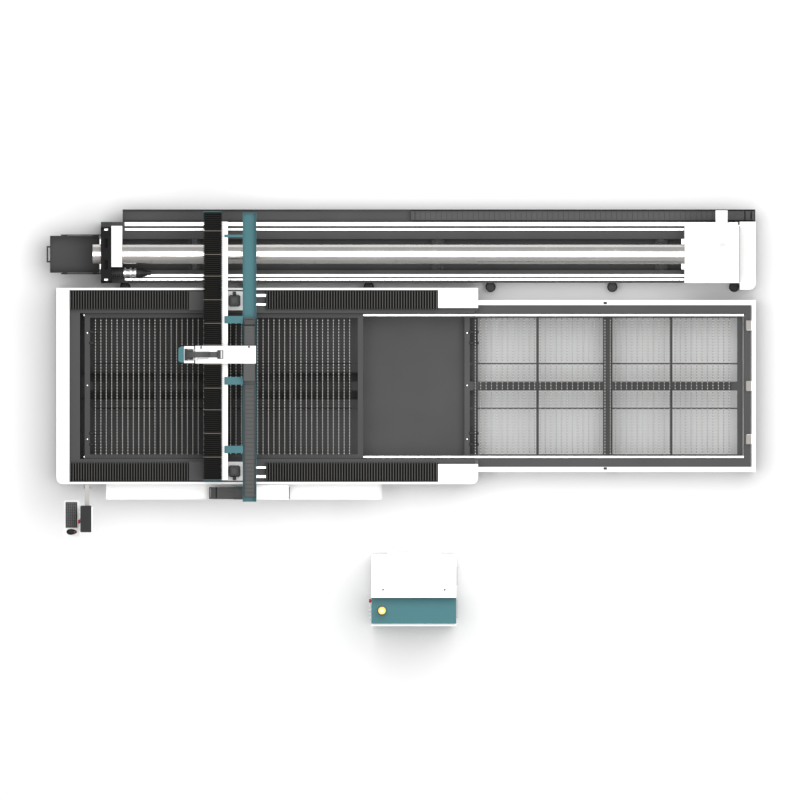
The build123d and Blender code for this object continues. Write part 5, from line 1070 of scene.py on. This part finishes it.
def screen():
    """Glass in front of the monitor and the white plate behind it, each one box."""
    glass = on_monitor(0, SCREEN_X, SCREEN_INSET, SCREEN_HEIGHT)
    boxes("screen_glass", [glass], SCREEN_EDGE, "console", "console_black", "screen_glass")
    plate = on_monitor(1, BACK_PLATE_X, BACK_PLATE_INSET, BACK_PLATE_HEIGHT)
    boxes("monitor_back_plate", [plate], SMALL_EDGE, "console", "white_paint")


keys()
mouse()
screen()


# Chuck drive: ribbed motor, steel coupling, tapered plug and the foot under the coupling
MOTOR_LENGTH = 0.13
MOTOR_RADIUS = 0.052
MOTOR_RIBS = 6
RIB_DEPTH = 0.004
RIB_STEPS = np.array([0, 0, 1, 1])
COUPLING = [
    (0.0, 0.13), (0.04, 0.13), (0.04, 0.142), (0.062, 0.142), (0.062, 0.158),
    (0.044, 0.16), (0.044, 0.2), (0.06, 0.202), (0.06, 0.222), (0.038, 0.224),
    (0.038, 0.252), (0.054, 0.254), (0.054, 0.272), (0.0, 0.272),
]
TAPER = [
    (0.0, 0.272), (0.05, 0.272), (0.056, 0.28), (0.056, 0.33), (0.05, 0.336),
    (0.05, 0.35), (0.042, 0.356), (0.042, 0.37), (0.034, 0.376), (0.034, 0.39),
    (0.026, 0.396), (0.024, 0.436), (0.018, 0.442), (0.0, 0.442),
]
DRIVE_FOOT_X = (0.154, 0.234)
DRIVE_FOOT_HALF = 0.038
DRIVE_PLACE = (
    corner("chuck_drive", 0, 0),
    middle_of("chuck_drive", 1),
    corner("chuck_drive", 1, 2) - max(radius for radius, _ in COUPLING),
)


def on_drive(profile):
    """A turned profile laid along +x at the drive's axis."""
    points, faces = turned(profile, FINE_TURNS)
    return swung(points, "+x") + np.array(DRIVE_PLACE), faces


def drive():
    """Turned motor, coupling and plug in a row; the motor's radius steps in by the rib's depth at grooves."""
    station = np.linspace(0, MOTOR_LENGTH, len(RIB_STEPS) * MOTOR_RIBS + 1)
    groove = RIB_DEPTH * np.resize(RIB_STEPS, len(station))
    barrel = [(0.0, 0.0), *zip(MOTOR_RADIUS - groove, station), (0.0, MOTOR_LENGTH)]
    motor = fitted("drive_motor", on_drive(barrel), "root", "motor_black")
    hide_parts("chuck_drive")
    fitted("drive_coupling", on_drive(COUPLING), "root", "ground_steel")
    fitted("drive_plug", on_drive(TAPER), "root", "console_black")
    x, y, z = DRIVE_PLACE
    low = (x + DRIVE_FOOT_X[0], y - DRIVE_FOOT_HALF, corner("chuck_drive", 0, 2))
    high = (x + DRIVE_FOOT_X[1], y + DRIVE_FOOT_HALF, z)
    boxes("drive_foot", [(low, high)], SMALL_EDGE, "root", "dark_paint")


drive()


# Chuck plate's long screws, rear cover's oval plate and knob, and a dark strip at the cover's edge that
# paints the shadow in its gap to the end plate, from the low corners of both
SLOT_SCREW = ((-0.021, -0.01, 0.0), (0.021, 0.01, 0.005))
SLOT_SCREW_EDGE = 0.002
CHUCK_SCREW_X = 0.059
CHUCK_SCREWS_Y = (0.596, 0.036)
OVAL_X, OVAL_Y = 0.419, 0.426
OVAL = (0.022, 0.006, 0.003)
OVAL_STRETCH = (1.5, 1.0, 1.0)
KNOB_X, KNOB_Y = 0.531, 0.44
KNOB = [
    (0.0, 0.0), (0.012, 0.0), (0.012, 0.004), (0.006, 0.008), (0.01, 0.016), (0.008, 0.022), (0.0, 0.023),
]
# a dark strip standing in for the shadow in the gap between the cover and the end plate
GAP_SHADOW_WIDTH = 0.006
GAP_SHADOW_DEPTH = 0.02
GAP_SHADOW_PROUD = 0.0015
GAP_SHADOW_END = 0.638


def chuck_fittings():
    """Screws are chamfered boxes, the oval a turned plate stretched along x, the painted gap shadow a thin
    dark box.
    """
    places = places_on("front_chuck_plate", [CHUCK_SCREW_X], CHUCK_SCREWS_Y)
    screw = chamfered_box(*SLOT_SCREW, SLOT_SCREW_EDGE)
    set_down("chuck_plate_screws", screw, "front_chuck_plate", places, "root", "ground_steel")
    points, faces = turned(knob(*OVAL), FINE_TURNS)
    oval = (points * np.array(OVAL_STRETCH), faces)
    places = places_on("rear_chuck_cover", [OVAL_X], [OVAL_Y])
    set_down("rear_cover_oval", oval, "rear_chuck_cover", places, "rear_chuck", "filter_grey")
    places = places_on("rear_chuck_cover", [KNOB_X], [KNOB_Y])
    set_down("rear_cover_knob", turned(KNOB), "rear_chuck_cover", places, "rear_chuck", "ground_steel")
    low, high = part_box("rear_chuck_cover")
    top = top_of("rear_chuck_cover", *places[0])
    first = (float(high[0]) - GAP_SHADOW_WIDTH, float(low[1]) + GAP_SHADOW_WIDTH, top - GAP_SHADOW_DEPTH)
    second = (float(high[0]), float(low[1]) + GAP_SHADOW_END, top + GAP_SHADOW_PROUD)
    boxes("rear_cover_gap_shadow", [(first, second)], GAP_SHADOW_PROUD / 2, "rear_chuck", "console_black")


chuck_fittings()


# Cabinet: the lamp's white cap, a painted highlight on its lens, and its base, hinges, back louvres and top
# screws, from low corners of the shell and door
LAMP_HIGHLIGHT_CAP = [(0.0, 0.0), (0.02, 0.0), (0.019, 0.004), (0.012, 0.007), (0.0, 0.008)]
LAMP_BASE = [(0.0, 0.0), (0.05, 0.0), (0.05, 0.01), (0.047, 0.014), (0.0, 0.014)]
HINGE = (0.008, 0.07, 0.002)
HINGE_RISES = (0.15, 0.69, 1.23)
LOUVRES = 12
LOUVRE_INSET = 0.173
LOUVRE_RISES = (0.3, 0.9)
LOUVRE_REACH = 0.012
LOUVRE_SHARE = 0.5
TOP_SCREW = (0.009, 0.004, 0.001)
TOP_SCREWS_X = (0.129, 0.819)
TOP_SCREW_Y = 0.087


def cabinet_details():
    """Turned cap and base on the lamp's axis, the white cap a painted highlight on the lens; hinges on the
    door's, and louvre boxes at an even pitch.
    """
    place = (middle_of("stack_light", 0), middle_of("stack_light", 1))
    # white disc on the lens top: a painted highlight
    set_down("lamp_highlight_cap", turned(LAMP_HIGHLIGHT_CAP, FINE_TURNS), "stack_light", [place], "root", "button_white")
    base = turned(LAMP_BASE, FINE_TURNS)
    set_down("lamp_base", base, "cabinet_front_shell", [place], "root", "motor_black")
    hinge_y = (corner("cabinet_door", 1, 1) + corner("cabinet_front_shell", 0, 1)) / 2
    door_x, door_foot = corner("cabinet_door", 1, 0), corner("cabinet_door", 0, 2)
    shifts = [(door_x, hinge_y, door_foot + rise) for rise in HINGE_RISES]
    fitted("door_hinges", repeated(*turned(knob(*HINGE)), shifts), "root", "ground_steel")
    low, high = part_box("cabinet_rear_shell")
    pitch = (LOUVRE_RISES[1] - LOUVRE_RISES[0]) / LOUVRES
    spans = []
    for i in range(LOUVRES):
        bottom = float(low[2]) + LOUVRE_RISES[0] + i * pitch
        first = (low[0] + LOUVRE_INSET, high[1] - LOUVRE_REACH, bottom)
        second = (high[0] - LOUVRE_INSET, high[1] + LOUVRE_REACH, bottom + pitch * LOUVRE_SHARE)
        spans.append((first, second))
    boxes("cabinet_back_louvres", spans, SMALL_EDGE, "root", "white_paint")
    screw = turned(knob(*TOP_SCREW), SMALL_TURNS)
    places = places_on("cabinet_rear_shell", TOP_SCREWS_X, [TOP_SCREW_Y])
    set_down("cabinet_top_screws", screw, "cabinet_rear_shell", places, "root", "motor_black")


cabinet_details()


# Panel joints and screws on the white covers
SEAM_WIDTH = 0.004
SEAM_PROUD = 0.0012
SEAM_LAP = 0.004
SEAM_PITCH = 0.92
FEWEST_PANELS = 2
SEAM_MARGIN = 0.05
SEAM_EDGE_SHARE = 0.25
SEAM_DROPS = {"side_covers": SEAM_MARGIN, "exchange_covers": SEAM_MARGIN * 2}
SCREW = (0.007, 0.003, 0.001)
SCREW_INSET = 0.05


def seam_row(x, face, z, way):
    """Upright joints along a cover's long face, evenly spread, and screws at both ends beside each joint."""
    panels = max(FEWEST_PANELS, round((x[1] - x[0]) / SEAM_PITCH))
    places = np.linspace(*x, panels + 1)[1:-1]
    sides = sorted((face - way * SEAM_LAP, face + way * SEAM_PROUD))
    joints = []
    for place in places:
        low = (place - SEAM_WIDTH / 2, sides[0], z[0])
        joints.append((low, (place + SEAM_WIDTH / 2, sides[1], z[1])))
    beside = np.concatenate([places - SCREW_INSET, places + SCREW_INSET])
    ends = (z[0] + SEAM_MARGIN, z[1] - SEAM_MARGIN)
    screws = [(place, face, height) for place in beside for height in ends]
    return joints, screws


def cover_joints():
    """Joints and screws of the bed's and the exchange table's side covers, front and back."""
    joints, screws = [], {"front": [], "back": []}
    for node, drop in SEAM_DROPS.items():
        low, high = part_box(node)
        x = (float(low[0]), float(high[0]))
        z = (float(low[2]), float(high[2]) - drop)
        for side, face, way in (("front", float(low[1]), -1), ("back", float(high[1]), 1)):
            row, heads = seam_row(x, face, z, way)
            joints += row
            screws[side] += heads
    boxes("cover_joints", joints, SEAM_PROUD * SEAM_EDGE_SHARE, "root", "dark_paint")
    points, faces = turned(knob(*SCREW), SMALL_TURNS)
    for side, way in (("front", "-y"), ("back", "+y")):
        shape = repeated(swung(points, way), faces, screws[side])
        fitted(f"{side}_cover_screws", shape, "root", "ground_steel")


cover_joints()


# Exchange table: grey pads on the stop blocks and dark clips, measured from the covers' low corner
PAD = ((-0.029, -0.053, -0.001), (0.029, 0.053, 0.006))
PAD_X = 3.032
PADS_Y = (1.645, 0.963, 0.363)
CLIP = ((-0.019, -0.013, -0.001), (0.019, 0.013, 0.008))
CLIP_X = 1.426
CLIPS_Y = (1.893, 0.039)


def exchange_fittings():
    """Pads and clips are small chamfered boxes set down on the white covers."""
    pad = chamfered_box(*PAD, SMALL_EDGE)
    places = places_on("exchange_covers", [PAD_X], PADS_Y)
    set_down("stop_block_pads", pad, "exchange_covers", places, "root", "filter_grey", "bracket_grey")
    clip = chamfered_box(*CLIP, SMALL_EDGE)
    places = places_on("exchange_covers", [CLIP_X], CLIPS_Y)
    set_down("cover_clips", clip, "exchange_covers", places, "root", "console_black")


exchange_fittings()


# Stage: floor, light and camera
FLOOR_HALF = 60.0
SKY_STRENGTH = 0.55
SOFTBOX_PLACE = (0.9, 1.5, 15.0)
SOFTBOX_AIM = (0.0, 0.0, 0.0)
SOFTBOX_SIZE = 13.0
SOFTBOX_POWER = 2600.0
CAMERA_SIGHT = 2000.0


def stage_floor():
    """A white square below the machine, far wider than the picture."""
    half = FLOOR_HALF
    corners = [(-half, -half, 0.0), (half, -half, 0.0), (half, half, 0.0), (-half, half, 0.0)]
    mesh_piece("studio_floor", (corners, [(0, 1, 2, 3)]), "floor_white")


def soft_light(name, place, aim, size, power):
    """A square studio light at a place, turned to a point."""
    light = bpy.data.lights.new(name, "AREA")
    light.size = size
    light.energy = power
    lamp = bpy.data.objects.new(name, light)
    scene.collection.objects.link(lamp)
    way = np.asarray(aim, dtype=float) - np.asarray(place, dtype=float)
    lamp.location = place
    lamp.rotation_euler = (
        math.atan2(math.hypot(way[0], way[1]), -way[2]),
        0.0,
        math.atan2(way[1], way[0]) - math.pi / 2,
    )


def studio():
    """An even white sky and one wide softbox overhead."""
    world = bpy.data.worlds.new("studio_sky")
    scene.world = world
    world.use_nodes = True
    sky = world.node_tree.nodes["Background"]
    sky.inputs["Color"].default_value = (1.0, 1.0, 1.0, 1.0)
    sky.inputs["Strength"].default_value = SKY_STRENGTH
    soft_light("overhead_softbox", SOFTBOX_PLACE, SOFTBOX_AIM, SOFTBOX_SIZE, SOFTBOX_POWER)
    scene.view_settings.view_transform = "Standard"


def photo_camera():
    """Looks straight down from far off with a long lens, so the view is all but parallel."""
    centre_x = (FRAME_PIXELS / 2 - ORIGIN_PIXEL[0]) * METRES_PER_PIXEL
    centre_y = (ORIGIN_PIXEL[1] - FRAME_PIXELS / 2) * METRES_PER_PIXEL
    width = FRAME_PIXELS * METRES_PER_PIXEL
    data = bpy.data.cameras.new("photo_camera")
    data.lens = LENS
    data.sensor_width = SENSOR
    data.clip_end = CAMERA_SIGHT
    camera = bpy.data.objects.new("photo_camera", data)
    scene.collection.objects.link(camera)
    camera.location = (centre_x, centre_y, REFERENCE_HEIGHT + width * LENS / SENSOR)
    scene.camera = camera


stage_floor()
studio()
photo_camera()
